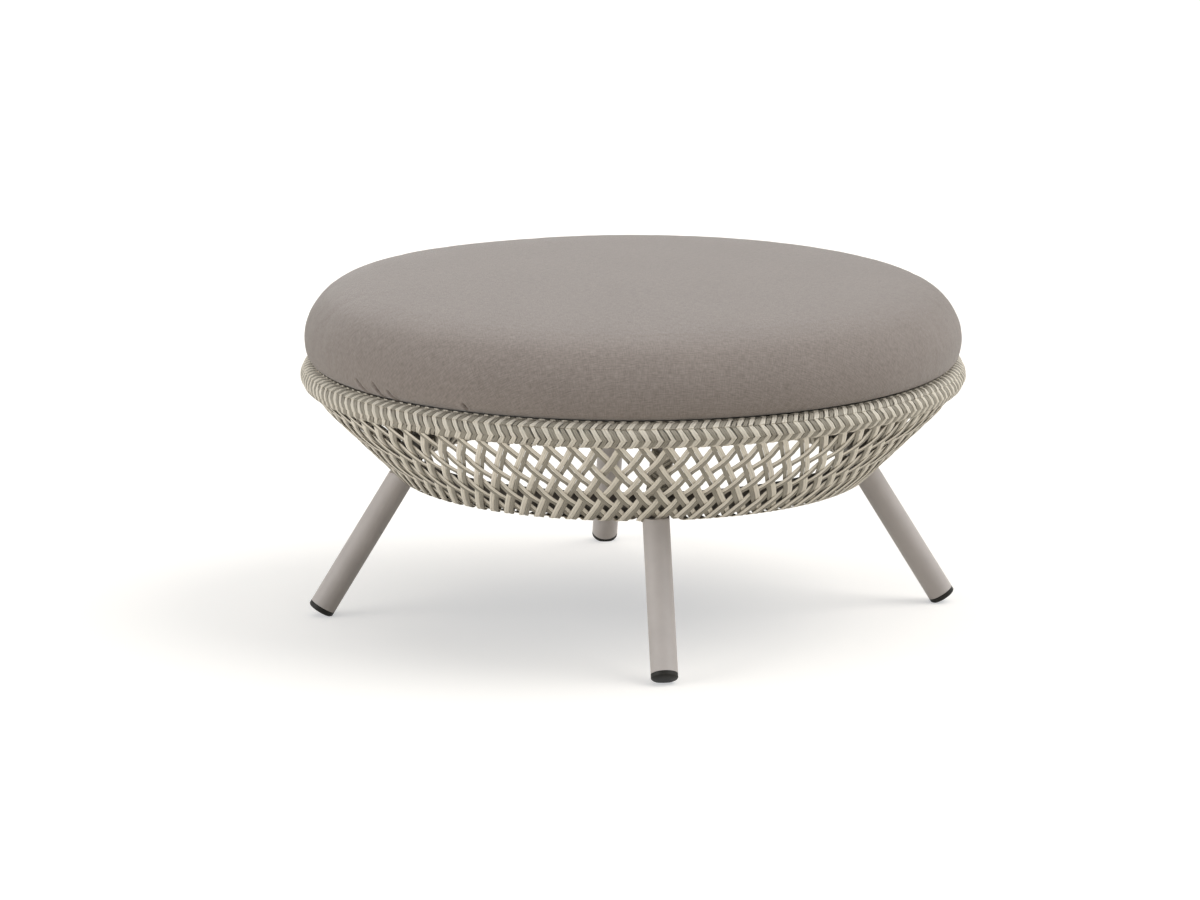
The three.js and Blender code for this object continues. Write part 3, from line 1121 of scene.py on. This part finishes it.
@dataclass
class Ribs:
    """The four ribs in line with the legs, each a tube under a braid like the rim's."""

    shape: BasketShape
    braid: ZigzagBraid = field(default_factory=lambda: ZigzagBraid(strip_width=0.0076, thickness=0.0018))
    wrap_depth: float = 0.0108
    widening: float = 1.4
    rows: int = 4
    end_gap: float = 0.001
    seed: int = 5

    def build(self, palette: Palette) -> None:
        """Makes one rib's braid at the right, round an oval section, and copies it round.

        Args:
            palette: the materials.
        """
        base, rim = self.shape.base, self.shape.rim
        foot = Vector((base[0], 0, base[1]))
        along = Vector((rim[0] - base[0], 0, rim[1] - base[1]))
        reach = along.length
        along.normalize()
        side = Vector((0, 1, 0))
        out = side.cross(along)
        first = self.shape.base_tube_radius + self.end_gap
        last = reach - self.shape.braid_radius - self.end_gap
        count = int((last - first - self.braid.row_shift) / self.braid.strip_width)
        rng = random.Random(self.seed)
        bundle = StripBundle("rib_braid_right", self.braid.thickness)
        back = self.wrap_depth - self.braid.thickness / 2
        for i in range(count):
            stations = []
            for row in range(self.rows):
                for share in self.braid.row_shares[:-1]:
                    angle = FULL_TURN * (row + share) / self.rows
                    radial = (out * math.cos(angle) * self.widening + side * math.sin(angle)).normalized()
                    height = first + (i + 0.5) * self.braid.strip_width + self.braid.shift(row + share)
                    section = out * math.cos(angle) + side * (math.sin(angle) * self.widening)
                    centre = foot + along * height + section * back
                    centre += radial * (self.braid.bulge * math.sin(HALF_TURN * share))
                    half = self.braid.fill * self.braid.strip_width / 2
                    stations.append(Station(centre, along, radial, half))
            bundle.add(stations, Shade(i % 2), anywhere(rng), closed=True)
        for name, piece in zip(LEG_NAMES, Bench.round_legs(bundle.build(palette.fibres), "rib_braid")):
            finished(piece, "frame", [f"rib_wrap_{name}"])


@dataclass
class Legs:
    """The base ring, the four splayed legs under it and the plugs in their feet."""

    shape: BasketShape
    leg_radius: float = 0.0175
    leg_wall: float = 0.002
    ring_swell: float = 0.0013
    splay: float = math.radians(31.4)
    inset: float = 0.0053
    bore_stop: float = 0.04
    lip: float = 0.005
    wall_half: float = 0.0033
    plug_flange: float = 0.006
    plug_dome: float = 0.003
    plug_edge: float = 0.0008
    plug_spigot: float = 0.02
    foot_flat: float = 0.0015
    sides: int = 64
    dome_steps: int = 8
    cutter_sides: int = 48
    cutter_steps: int = 360

    @property
    def axis(self) -> Vector:
        """The direction up the right-hand leg."""
        return Vector((-math.sin(self.splay), 0, math.cos(self.splay)))

    @property
    def at_ring(self) -> float:
        """The distance along the leg's axis from the floor to square across from the base ring."""
        return (self.shape.base[1] - self.inset * math.sin(self.splay)) / math.cos(self.splay)

    @property
    def foot(self) -> Vector:
        """Where the right-hand leg's axis meets the floor."""
        radius = self.shape.base[0] - self.inset * math.cos(self.splay) + self.at_ring * math.sin(self.splay)
        return Vector((radius, 0, 0))

    @property
    def plug_face(self) -> float:
        """The distance along the axis to the outer rim of the plug's face."""
        return (self.leg_radius * math.sin(self.splay) - self.foot_flat) / math.cos(self.splay)

    def placed(self, distance: float) -> Matrix:
        """Moves what stands on the origin to a distance along the right-hand leg's axis."""
        turn = UP.rotation_difference(self.axis).to_matrix().to_4x4()
        return Matrix.Translation(self.foot + self.axis * distance) @ turn

    def rod(self, name: str, start: float, end: float, radius: float) -> Piece:
        """A cylinder along the right-hand leg's axis.

        Args:
            name: its name.
            start: how far up the axis it starts.
            end: how far up it ends.
            radius: its radius.

        Returns:
            The cylinder.
        """
        Bench.clear()
        bpy.ops.mesh.primitive_cylinder_add(
            vertices=self.sides, radius=radius, depth=end - start, location=(0, 0, (end - start) / 2)
        )
        piece = Bench.named(name)
        piece.data.transform(self.placed(start))
        return piece

    def leg(self) -> Piece:
        """The right-hand leg: bored from the foot, saddled to the base ring and slotted for the wall.

        Returns:
            The leg.
        """
        shape = self.shape
        leg = self.rod("leg_coated_right", self.plug_face + self.plug_flange, self.at_ring, self.leg_radius)
        bore_end = self.at_ring - self.bore_stop
        Bench.cut(leg, self.rod("bore", 0, bore_end, self.leg_radius - self.leg_wall))
        saddle = shape.base_tube_radius + shape.gap
        Bench.cut(leg, Bench.ring("saddle", shape.base, saddle, self.cutter_sides, self.cutter_steps))
        reach = self.wall_half + shape.gap
        lip_rise = self.lip / shape.up[1]
        lip = shape.on_wall(lip_rise, reach)
        top = shape.on_wall(2 * self.leg_radius, reach)[1]
        outline = [
            shape.on_wall(-shape.gap, -reach),
            shape.on_wall(-shape.gap, reach),
            lip,
            (shape.rim_radius, lip[1]),
            (shape.rim_radius, top),
            shape.on_wall(2 * self.leg_radius, -reach),
        ]
        Bench.cut(leg, Bench.lathed("wall_slot", outline, self.cutter_steps))
        level = shape.base[1] - shape.base_tube_radius * math.cos(shape.wall_slope) - shape.gap
        with Bench.editing(leg):
            bpy.ops.mesh.bisect(plane_co=(0, 0, level), plane_no=(0, 0, 1), use_fill=True, clear_outer=True)
            bpy.ops.mesh.select_all(action="SELECT")
            bpy.ops.mesh.remove_doubles(threshold=MERGE_WITHIN)
        return Bench.smoothed(leg)

    def plug(self) -> Piece:
        """The right-hand plug: a spigot in the tube, a flange and a low dome, flat where it stands.

        Returns:
            The plug.
        """
        radius = self.leg_radius
        spigot = radius - self.leg_wall - self.shape.gap
        edge = self.plug_edge
        dome = [
            (math.sin(angle) * (radius - edge), -self.plug_dome * math.cos(angle))
            for angle in (QUARTER_TURN * i / self.dome_steps for i in range(self.dome_steps + 1))
        ]
        flange = self.plug_flange - self.shape.gap
        outline = [
            *dome,
            (radius, edge),
            (radius, flange),
            (spigot, flange),
            (spigot, flange + self.plug_spigot),
            (0, flange + self.plug_spigot),
        ]
        plug = Bench.lathed("foot_plug_right", outline, self.sides)
        plug.data.transform(self.placed(self.plug_face))
        with Bench.editing(plug):
            bpy.ops.mesh.bisect(plane_co=(0, 0, 0), plane_no=(0, 0, -1), use_fill=True, clear_outer=True)
        return Bench.smoothed(plug, degrees=30)

    def build(self, palette: Palette) -> None:
        """Makes the base ring, and a leg and a plug at the right that are copied round.

        Args:
            palette: the materials.
        """
        shape = self.shape
        radius = shape.base_tube_radius + self.ring_swell
        ring = Bench.ring("base_ring_round", shape.base, radius, shape.tube_sides, shape.tube_steps)
        # The base ring's darker coat is painted shade, for the shade under the weave.
        finished(Bench.smoothed(ring), "frame", ["base_ring"], palette.ring_coat_painted_shade)
        tubes = Bench.round_legs(self.leg(), "leg_coated")
        feet = Bench.round_legs(self.plug(), "foot_plug")
        for name, tube, foot in zip(LEG_NAMES, tubes, feet):
            finished(tube, "frame", [f"leg_tube_{name}"], palette.coat)
            finished(foot, "frame", [f"leg_plug_{name}"], palette.plastic)


@dataclass
class Deck:
    """The hoop inside the rim, the straps across it and their rivets."""

    shape: BasketShape
    straps: int = 4
    hoop_width: float = 0.03
    hoop_thickness: float = 0.003
    hoop_rise: float = 0.0032
    hoop_edge_share: float = 0.125
    hoop_steps: int = 192
    strap_thickness: float = 0.002
    rivet_head: float = 0.006
    rivet_head_height: float = 0.001
    rivet_tail: float = 0.004
    rivet_tail_height: float = 0.0025
    rivet_shank: float = 0.0025
    rivet_steps: int = 24
    head_shares: tuple[Place, ...] = ((1.0, 0.0), (0.85, 0.6), (0.45, 1.0), (0.0, 1.0))
    tail_shares: tuple[Place, ...] = ((0.0, 1.0), (0.8, 1.0), (1.0, 0.7), (1.0, 0.0))

    def build(self, palette: Palette) -> None:
        """Makes the hoop and the rivets; the straps keep their solids, which are right as they are.

        Args:
            palette: the materials.
        """
        bottom = self.shape.rim_height + self.hoop_rise
        top = bottom + self.hoop_thickness
        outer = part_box("deck_hoop")[1][0]
        inner = outer - self.hoop_width
        edge = self.hoop_thickness * self.hoop_edge_share
        outline = [
            (inner + edge, bottom),
            (outer - edge, bottom),
            (outer, bottom + edge),
            (outer, top - edge),
            (outer - edge, top),
            (inner + edge, top),
            (inner, top - edge),
            (inner, bottom + edge),
        ]
        hoop = Bench.smoothed(Bench.lathed("deck_hoop_round", outline, self.hoop_steps), degrees=30)
        finished(hoop, "frame", ["deck_hoop"], palette.coat)
        tail = bottom - self.shape.gap
        head = top + self.strap_thickness + 2 * self.shape.gap
        rivet = self.rivet(tail, head)
        names = [
            f"deck_rivet_{axis}_{i + 1}_{end}"
            for axis in "xy"
            for i in range(self.straps)
            for end in ("start", "end")
        ]
        rivets = []
        for name in names:
            low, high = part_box(name)
            middle = Matrix.Translation(((low[0] + high[0]) / 2, (low[1] + high[1]) / 2, 0))
            rivets.append(Bench.copied(rivet, f"{name}_round", middle))
        bpy.data.objects.remove(rivet)
        joined = Bench.joined(rivets)
        joined.name = "deck_rivets_round"
        finished(joined, "frame", names, palette.coat)

    def rivet(self, tail: float, head: float) -> Piece:
        """Makes a rivet on the Z axis.

        Args:
            tail: the height that its tail is pressed against from below.
            head: the height that its head sits on.

        Returns:
            The rivet.
        """
        wide, high = self.rivet_tail, self.rivet_tail_height
        outline = [(out * wide, tail - down * high) for out, down in self.tail_shares]
        outline += [(self.rivet_shank, tail), (self.rivet_shank, head)]
        wide, high = self.rivet_head, self.rivet_head_height
        outline += [(out * wide, head + up * high) for out, up in self.head_shares]
        return Bench.smoothed(Bench.lathed("deck_rivet", outline, self.rivet_steps), degrees=30)


@dataclass
class Cushion:
    """The loose round cushion, filled by a cloth simulation from a slightly smaller shape."""

    shape: BasketShape
    radius: float = 0.4345
    top: float = 0.4633
    bottom: float = 0.33395
    rim_gap: float = 0.0006
    hug_gap: float = 0.0018
    seat_radius: float = 0.3915
    hug_from: float = math.radians(140)
    hug_to: float = math.radians(86)
    hug_steps: int = 6
    side_steps: int = 5
    sides: int = 128
    side_shares: tuple[Place, ...] = (
        (0.987, 0.03),
        (0.998, 0.15),
        (1, 0.3),
        (0.99, 0.445),
        (0.967, 0.59),
        (0.93, 0.725),
        (0.875, 0.815),
        (0.795, 0.877),
        (0.645, 0.93),
        (0.415, 0.972),
        (0.207, 0.994),
        (0, 1),
    )
    shrink: float = 0.004
    voxel: float = 0.007
    quality: int = 4
    pressure: float = 4
    stiffness: float = 12
    bending: float = 0.6
    frames: int = 20
    band: float = 0.012
    slack: float = 0.07
    slack_cap: float = 0.0025
    slack_fades: Place = (0.01, 0.1)
    crease_depth: float = 0.0045
    crease_width: float = 0.0017
    crease_margin: float = 0.003
    crease_start: float = 0.12
    crease_fullness: float = 0.7
    crease_reaches: tuple[float, ...] = (0.016, 0.011, 0.008)
    ridge_share: float = 0.2
    ridge_away: float = 2.6
    ridge_width: float = 1.6
    settle: float = 0.0036
    plump_side: Place = (-0.12, -0.36)
    plump_rise: float = 0.0052
    creases: tuple[tuple[Place, Place], ...] = (
        ((-150.4, 0.3605), (-147.7, 0.3435)),
        ((-145.6, 0.3615), (-143.4, 0.343)),
        ((-141.9, 0.355), (-140.3, 0.3435)),
        ((-125.3, 0.3545), (-124.6, 0.346)),
    )

    @property
    def rim_top(self) -> float:
        """The height of the cushion where it leaves the rim."""
        return self.shape.rim_height + self.shape.braid_radius + self.rim_gap

    def outline(self) -> list[Place]:
        """The cushion's section, from the middle of its underside to the middle of its top.

        Returns:
            Its places, as distance from the axis and height.
        """
        hug_radius = self.shape.braid_radius + self.hug_gap
        hug_turn = self.hug_to - self.hug_from
        hug = [
            round_place(self.shape.rim, hug_radius, self.hug_from + hug_turn * i / self.hug_steps)
            for i in range(self.hug_steps + 1)
        ]
        side = [
            (wide * self.radius, self.rim_top + high * (self.top - self.rim_top))
            for wide, high in self.side_shares
        ]
        return [(0.0, self.bottom), (self.seat_radius, self.bottom), *hug, *self.curve(side, self.side_steps)]

    @staticmethod
    def curve(places: Sequence[Place], steps: int) -> list[Place]:
        """A smooth curve through places.

        Args:
            places: the places.
            steps: how many steps lie between each two.

        Returns:
            The places along the curve.
        """
        made = []
        for i in range(len(places) - 1):
            around = (places[max(i - 1, 0)], places[i], places[i + 1], places[min(i + 2, len(places) - 1)])
            for k in range(steps):
                made.append(tuple(Cushion.between(values, k / steps) for values in zip(*around)))
        return [*made, places[-1]]

    @staticmethod
    def between(values: Sequence[float], share: float) -> float:
        """A value on the smooth curve from the second to the third of four values.

        Args:
            values: the four values.
            share: how far along the curve it is.

        Returns:
            The value.
        """
        a, b, c, d = values
        total = 2 * b + (c - a) * share
        total += (2 * a - 5 * b + 4 * c - d) * share * share
        total += (3 * b - a - 3 * c + d) * share**3
        return 0.5 * total

    @staticmethod
    def read(piece: Piece, attribute: str = "co") -> np.ndarray:
        """Reads the places or the outward directions of a piece's vertices.

        Args:
            piece: the piece.
            attribute: co for the places, or normal for the directions.

        Returns:
            A row for each vertex.
        """
        values = np.empty(3 * len(piece.data.vertices))
        piece.data.vertices.foreach_get(attribute, values)
        return values.reshape(-1, 3)

    @staticmethod
    def write(piece: Piece, points: np.ndarray) -> None:
        """Moves a piece's vertices to new places, a row for each."""
        piece.data.vertices.foreach_set("co", points.ravel())
        piece.data.update()

    @staticmethod
    def radii(points: np.ndarray) -> np.ndarray:
        """The distance of each point from the Z axis, which is never quite nothing."""
        return np.maximum(np.linalg.norm(points[:, :2], axis=1), ALMOST_NOTHING)

    def along_outline(self, points: np.ndarray) -> tuple[np.ndarray, np.ndarray, np.ndarray]:
        """Finds the nearest place on the cushion's section for each point.

        Args:
            points: places on or near the cushion, a row for each.

        Returns:
            The distance along the section from the middle of the top, the nearest radius and height, and the
            section's outward direction there.
        """
        outline = np.array(self.outline()[::-1])
        edges = np.diff(outline, axis=0)
        steps = np.linalg.norm(edges, axis=1)
        run = np.concatenate([[0], np.cumsum(steps)])
        section = np.stack([np.linalg.norm(points[:, :2], axis=1), points[:, 2]], axis=1)
        best = np.full(len(points), np.inf)
        along = np.zeros(len(points))
        nearest = np.zeros((len(points), 2))
        out = np.zeros((len(points), 2))
        for start, edge, step, base in zip(outline, edges, steps, run):
            share = np.clip(((section - start) @ edge) / (step * step), 0, 1)
            foot = start + share[:, None] * edge
            gap = np.linalg.norm(section - foot, axis=1)
            closer = gap < best
            best[closer] = gap[closer]
            along[closer] = base + share[closer] * step
            nearest[closer] = foot[closer]
            out[closer] = (-edge[1] / step, edge[0] / step)
        return along, nearest, out

    def fill(self, piece: Piece) -> None:
        """Fills the pad under pressure, and keeps the slack that this leaves in its cover.

        The measured section stays: only what differs from the average all round the cushion is kept.

        Args:
            piece: the cushion.
        """
        start = self.read(piece)
        held = piece.vertex_groups.new(name="held")
        held.add([i for i, point in enumerate(start) if point[2] < self.rim_top], 1.0, "REPLACE")
        Bench.choose(piece)
        cloth = piece.modifiers.new("Cloth", "CLOTH")
        cloth.settings.vertex_group_mass = held.name
        cloth.settings.quality = self.quality
        cloth.settings.use_pressure = True
        cloth.settings.uniform_pressure_force = self.pressure
        cloth.settings.tension_stiffness = self.stiffness
        cloth.settings.compression_stiffness = self.stiffness
        cloth.settings.bending_stiffness = self.bending
        cloth.settings.effector_weights.gravity = 0
        cloth.collision_settings.use_collision = False
        for frame in range(1, self.frames + 1):
            bpy.context.scene.frame_set(frame)
        bpy.ops.object.modifier_apply(modifier=cloth.name)
        bpy.context.scene.frame_set(1)
        moved = self.read(piece) - start
        along, nearest, out = self.along_outline(start)
        radii = self.radii(start)
        round_out = start[:, :2] / radii[:, None]
        swell = (moved[:, :2] * round_out).sum(axis=1) * out[:, 0] + moved[:, 2] * out[:, 1]
        band = (along / self.band).astype(int)
        average = np.bincount(band, swell) / np.maximum(np.bincount(band), 1)
        slack = (swell - average[band]) * self.slack
        spread, most = 1000 * slack.std(), 1000 * abs(slack).max()
        LOG.info("cushion slack: %.2f mm on average, %.2f mm at most", spread, most)
        slack = self.slack_cap * np.tanh(slack / self.slack_cap)
        above_rim, from_middle = self.slack_fades
        slack *= np.clip((start[:, 2] - self.rim_top) / above_rim, 0, 1) * np.clip(radii / from_middle, 0, 1)
        section = nearest + out * slack[:, None]
        self.write(piece, np.column_stack([round_out * section[:, :1], section[:, 1]]))
        piece.vertex_groups.clear()

    def settled(self, piece: Piece) -> None:
        """Lowers the crown as the filling has settled with use, less so on the left, where it stays plump.

        Args:
            piece: the cushion.
        """
        points = self.read(piece)
        share = np.clip((points[:, 2] - self.rim_top) / (self.top - self.rim_top), 0, 1)
        first, last = self.plump_side
        plump = np.clip((points[:, 0] - first) / (last - first), 0, 1)
        plump = plump * plump * (3 - 2 * plump)
        points[:, 2] += share * (self.plump_rise * plump - self.settle)
        self.write(piece, points)

    def pucker(self, piece: Piece) -> None:
        """Presses the short creases into the side just above the rim, in a mesh that is made finer there.

        Args:
            piece: the cushion.
        """
        lines = [
            [np.array((self.radius * math.radians(turn), height)) for turn, height in crease]
            for crease in self.creases
        ]
        for reach in self.crease_reaches:
            side = self.unrolled(self.read(piece))
            outside = side[:, 1] > self.rim_top - self.crease_margin
            near = np.zeros(len(side), dtype=bool)
            for start, end in lines:
                near |= outside & (self.from_line(side, start, end)[0] < reach)
            Bench.choose(piece)
            for polygon in piece.data.polygons:
                polygon.select = all(near[list(polygon.vertices)])
            bpy.ops.object.mode_set(mode="EDIT")
            bpy.ops.mesh.select_mode(type="FACE")
            bpy.ops.mesh.subdivide(number_cuts=1)
            bpy.ops.object.mode_set(mode="OBJECT")
        points, out = self.read(piece), self.read(piece, "normal")
        side = self.unrolled(points)
        for start, end in lines:
            away, share = self.from_line(side, start, end)
            through = np.clip(self.crease_start + (1 - self.crease_start) * share, 0, 1)
            taper = np.sin(np.pi * through) ** self.crease_fullness * (points[:, 2] > self.rim_top)
            dent = np.exp(-((away / self.crease_width) ** 2))
            beside = (away - self.ridge_away * self.crease_width) / (self.ridge_width * self.crease_width)
            ridge = self.ridge_share * np.exp(-(beside**2))
            points += out * ((ridge - dent) * taper * self.crease_depth)[:, None]
        self.write(piece, points)

    def unrolled(self, points: np.ndarray) -> np.ndarray:
        """Places on the cushion's side laid out flat: the distance round it and the height."""
        return np.column_stack([self.radius * np.arctan2(points[:, 1], points[:, 0]), points[:, 2]])

    @staticmethod
    def from_line(points: np.ndarray, start: np.ndarray, end: np.ndarray) -> tuple[np.ndarray, np.ndarray]:
        """How far points are from a line between two places, and how far along it, as a share.

        Args:
            points: the points, a row for each.
            start: the first place.
            end: the second place.

        Returns:
            The distances and the shares.
        """
        line = end - start
        share = np.clip((points - start) @ line / float(line @ line), 0, 1)
        return np.linalg.norm(points - start - share[:, None] * line, axis=1), share

    def cloth_map(self, piece: Piece) -> None:
        """Maps the cushion as cloth that is drawn from the middle outwards, by distance along its section.

        Args:
            piece: the cushion.
        """
        points = self.read(piece)
        along = self.along_outline(points)[0]
        flat = points[:, :2] * (along / self.radii(points))[:, None]
        layer = piece.data.uv_layers.new(name="cloth")
        index = np.empty(len(piece.data.loops), dtype=np.int32)
        piece.data.loops.foreach_get("vertex_index", index)
        layer.data.foreach_set("uv", flat[index].ravel())

    def build(self, palette: Palette) -> None:
        """Makes the cushion.

        Args:
            palette: the materials.
        """
        piece = Bench.lathed("cushion_pad", self.outline(), self.sides)
        with Bench.editing(piece):
            bpy.ops.transform.shrink_fatten(value=-self.shrink)
        Bench.apply(piece, "REMESH", mode="VOXEL", voxel_size=self.voxel)
        self.fill(piece)
        Bench.apply(piece, "SUBSURF", levels=1, render_levels=1)
        self.pucker(piece)
        self.cloth_map(piece)
        self.settled(piece)
        Bench.smoothed(piece, degrees=80)
        finished(piece, "cushion", ["seat_cushion"], palette.fabric)


@dataclass(frozen=True)
class Lamp:
    """Soft light from one side of the sky: the direction it comes from, its spread and its level."""

    name: str
    toward: Direction
    spread: float
    level: float


@dataclass(frozen=True)
class Studio:
    """The camera, a pale floor and soft light from all round."""

    distance: float = 8.0026
    elevation: float = math.radians(11.83)
    azimuth: float = math.radians(-5.49)
    aim_height: float = 0.2381
    lens: float = 180.73
    sensor: float = 36.0
    shift: Place = (-0.0276, -0.0136)
    view_depth: float = 100.0
    floor_size: float = 60.0
    floor_colour: Colour = (0.69, 0.66, 0.61)
    floor_fill: float = 0.46
    fill_colour: Colour = (0.98, 1.0, 1.03)
    sky: float = 0.27
    lamps: tuple[Lamp, ...] = (
        Lamp("lamp_over", (0.25, 0.3, 1.0), math.radians(80), 0.38),
        Lamp("lamp_right", (0.9, -0.15, 0.9), math.radians(50), 0.46),
        Lamp("lamp_left", (-0.9, -0.25, 0.3), math.radians(50), 0.42),
    )

    def camera(self) -> None:
        """Sets up the camera at the photograph's viewing angle."""
        data = bpy.data.cameras.new("camera")
        data.lens = self.lens
        data.sensor_width = self.sensor
        data.shift_x, data.shift_y = self.shift
        data.clip_end = self.view_depth
        camera = bpy.data.objects.new("camera", data)
        flat = self.distance * math.cos(self.elevation)
        rise = self.distance * math.sin(self.elevation)
        back = Vector((math.sin(self.azimuth) * flat, -math.cos(self.azimuth) * flat, rise))
        camera.location = Vector((0, 0, self.aim_height)) + back
        camera.rotation_mode = "QUATERNION"
        camera.rotation_quaternion = (-back).to_track_quat("-Z", "Y")
        bpy.context.scene.collection.objects.link(camera)
        bpy.context.scene.camera = camera

    def floor(self) -> None:
        """Lays the floor, which the camera sees as white where nothing shades it."""
        Bench.clear()
        bpy.ops.mesh.primitive_plane_add(size=self.floor_size)
        floor = Bench.named("floor")
        paint = Painter("floor")
        paint.settings(Roughness=1.0, Specular_IOR_Level=0.0)
        paint.shader.inputs["Base Color"].default_value = (*self.floor_colour, 1)
        glow = paint.add("ShaderNodeEmission", Color=(*self.fill_colour, 1))
        seen = self.seen(paint.nodes, paint.links)
        paint.join(paint.math("MULTIPLY", seen, self.floor_fill), glow.inputs["Strength"])
        both = paint.add("ShaderNodeAddShader")
        paint.join(paint.shader.outputs["BSDF"], both.inputs[0])
        paint.join(glow.outputs["Emission"], both.inputs[1])
        paint.join(both.outputs["Shader"], paint.nodes["Material Output"].inputs["Surface"])
        floor.data.materials.append(paint.material)

    @staticmethod
    def seen(nodes: bpy.types.Nodes, links: bpy.types.NodeLinks) -> Socket:
        """A share that is 1 for what is seen directly, and 0 for light that falls on things.

        Args:
            nodes: the nodes to add to.
            links: the links to add to.

        Returns:
            The share.
        """
        path = nodes.new("ShaderNodeLightPath")
        total = path.outputs["Is Camera Ray"]
        for name in ("Is Glossy Ray", "Is Transmission Ray"):
            either = nodes.new("ShaderNodeMath")
            either.operation = "MAXIMUM"
            links.new(total, either.inputs[0])
            links.new(path.outputs[name], either.inputs[1])
            total = either.outputs["Value"]
        return total

    @staticmethod
    def hang(lamp: Lamp) -> None:
        """Adds a lamp to the scene.

        Args:
            lamp: the lamp. A white surface that faces it looks as bright as its level.
        """
        data = bpy.data.lights.new(lamp.name, "SUN")
        data.angle = lamp.spread
        data.energy = lamp.level * math.pi
        light = bpy.data.objects.new(lamp.name, data)
        light.location = Vector(lamp.toward)
        light.rotation_mode = "QUATERNION"
        light.rotation_quaternion = Vector(lamp.toward).to_track_quat("Z", "Y")
        bpy.context.scene.collection.objects.link(light)

    def world(self) -> None:
        """Lights the scene evenly, and shows white behind it."""
        world = bpy.data.worlds.new("studio")
        world.use_nodes = True
        bpy.context.scene.world = world
        nodes, links = world.node_tree.nodes, world.node_tree.links
        strength = nodes.new("ShaderNodeMapRange")
        strength.inputs["To Min"].default_value = self.sky
        strength.inputs["To Max"].default_value = 1.0
        links.new(self.seen(nodes, links), strength.inputs["Value"])
        background = nodes["Background"]
        background.inputs["Color"].default_value = (1, 1, 1, 1)
        links.new(strength.outputs["Result"], background.inputs["Strength"])

    def build(self) -> None:
        """Sets up all of the studio."""
        bpy.context.scene.view_settings.view_transform = "Standard"
        self.camera()
        self.floor()
        self.world()
        for lamp in self.lamps:
            self.hang(lamp)


def dress_cad(nodes: dict[str, Piece], palette: Palette) -> None:
    """Gives the CAD nodes that stay in sight their materials.

    Args:
        nodes: the nodes by name.
        palette: the materials.
    """
    for name, node in nodes.items():
        if node.hide_render:
            continue
        material = palette.strap if name.startswith("deck_strap") else palette.coat
        node.data.materials.clear()
        node.data.materials.append(material)
        LOG.info("%s keeps its solid", name)


def main() -> None:
    """Builds the ottoman piece by piece round its frame."""
    logging.basicConfig(level=logging.INFO, format="%(name)s: %(message)s")
    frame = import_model()
    Studio().build()
    palette = Palette()
    shape = BasketShape()
    for assembly in (WovenWall, Rim, Ribs, Legs, Deck, Cushion):
        LOG.info("building the %s", assembly.__name__)
        assembly(shape).build(palette)
    dress_cad(frame["nodes"], palette)


if __name__ == "__main__":
    main()
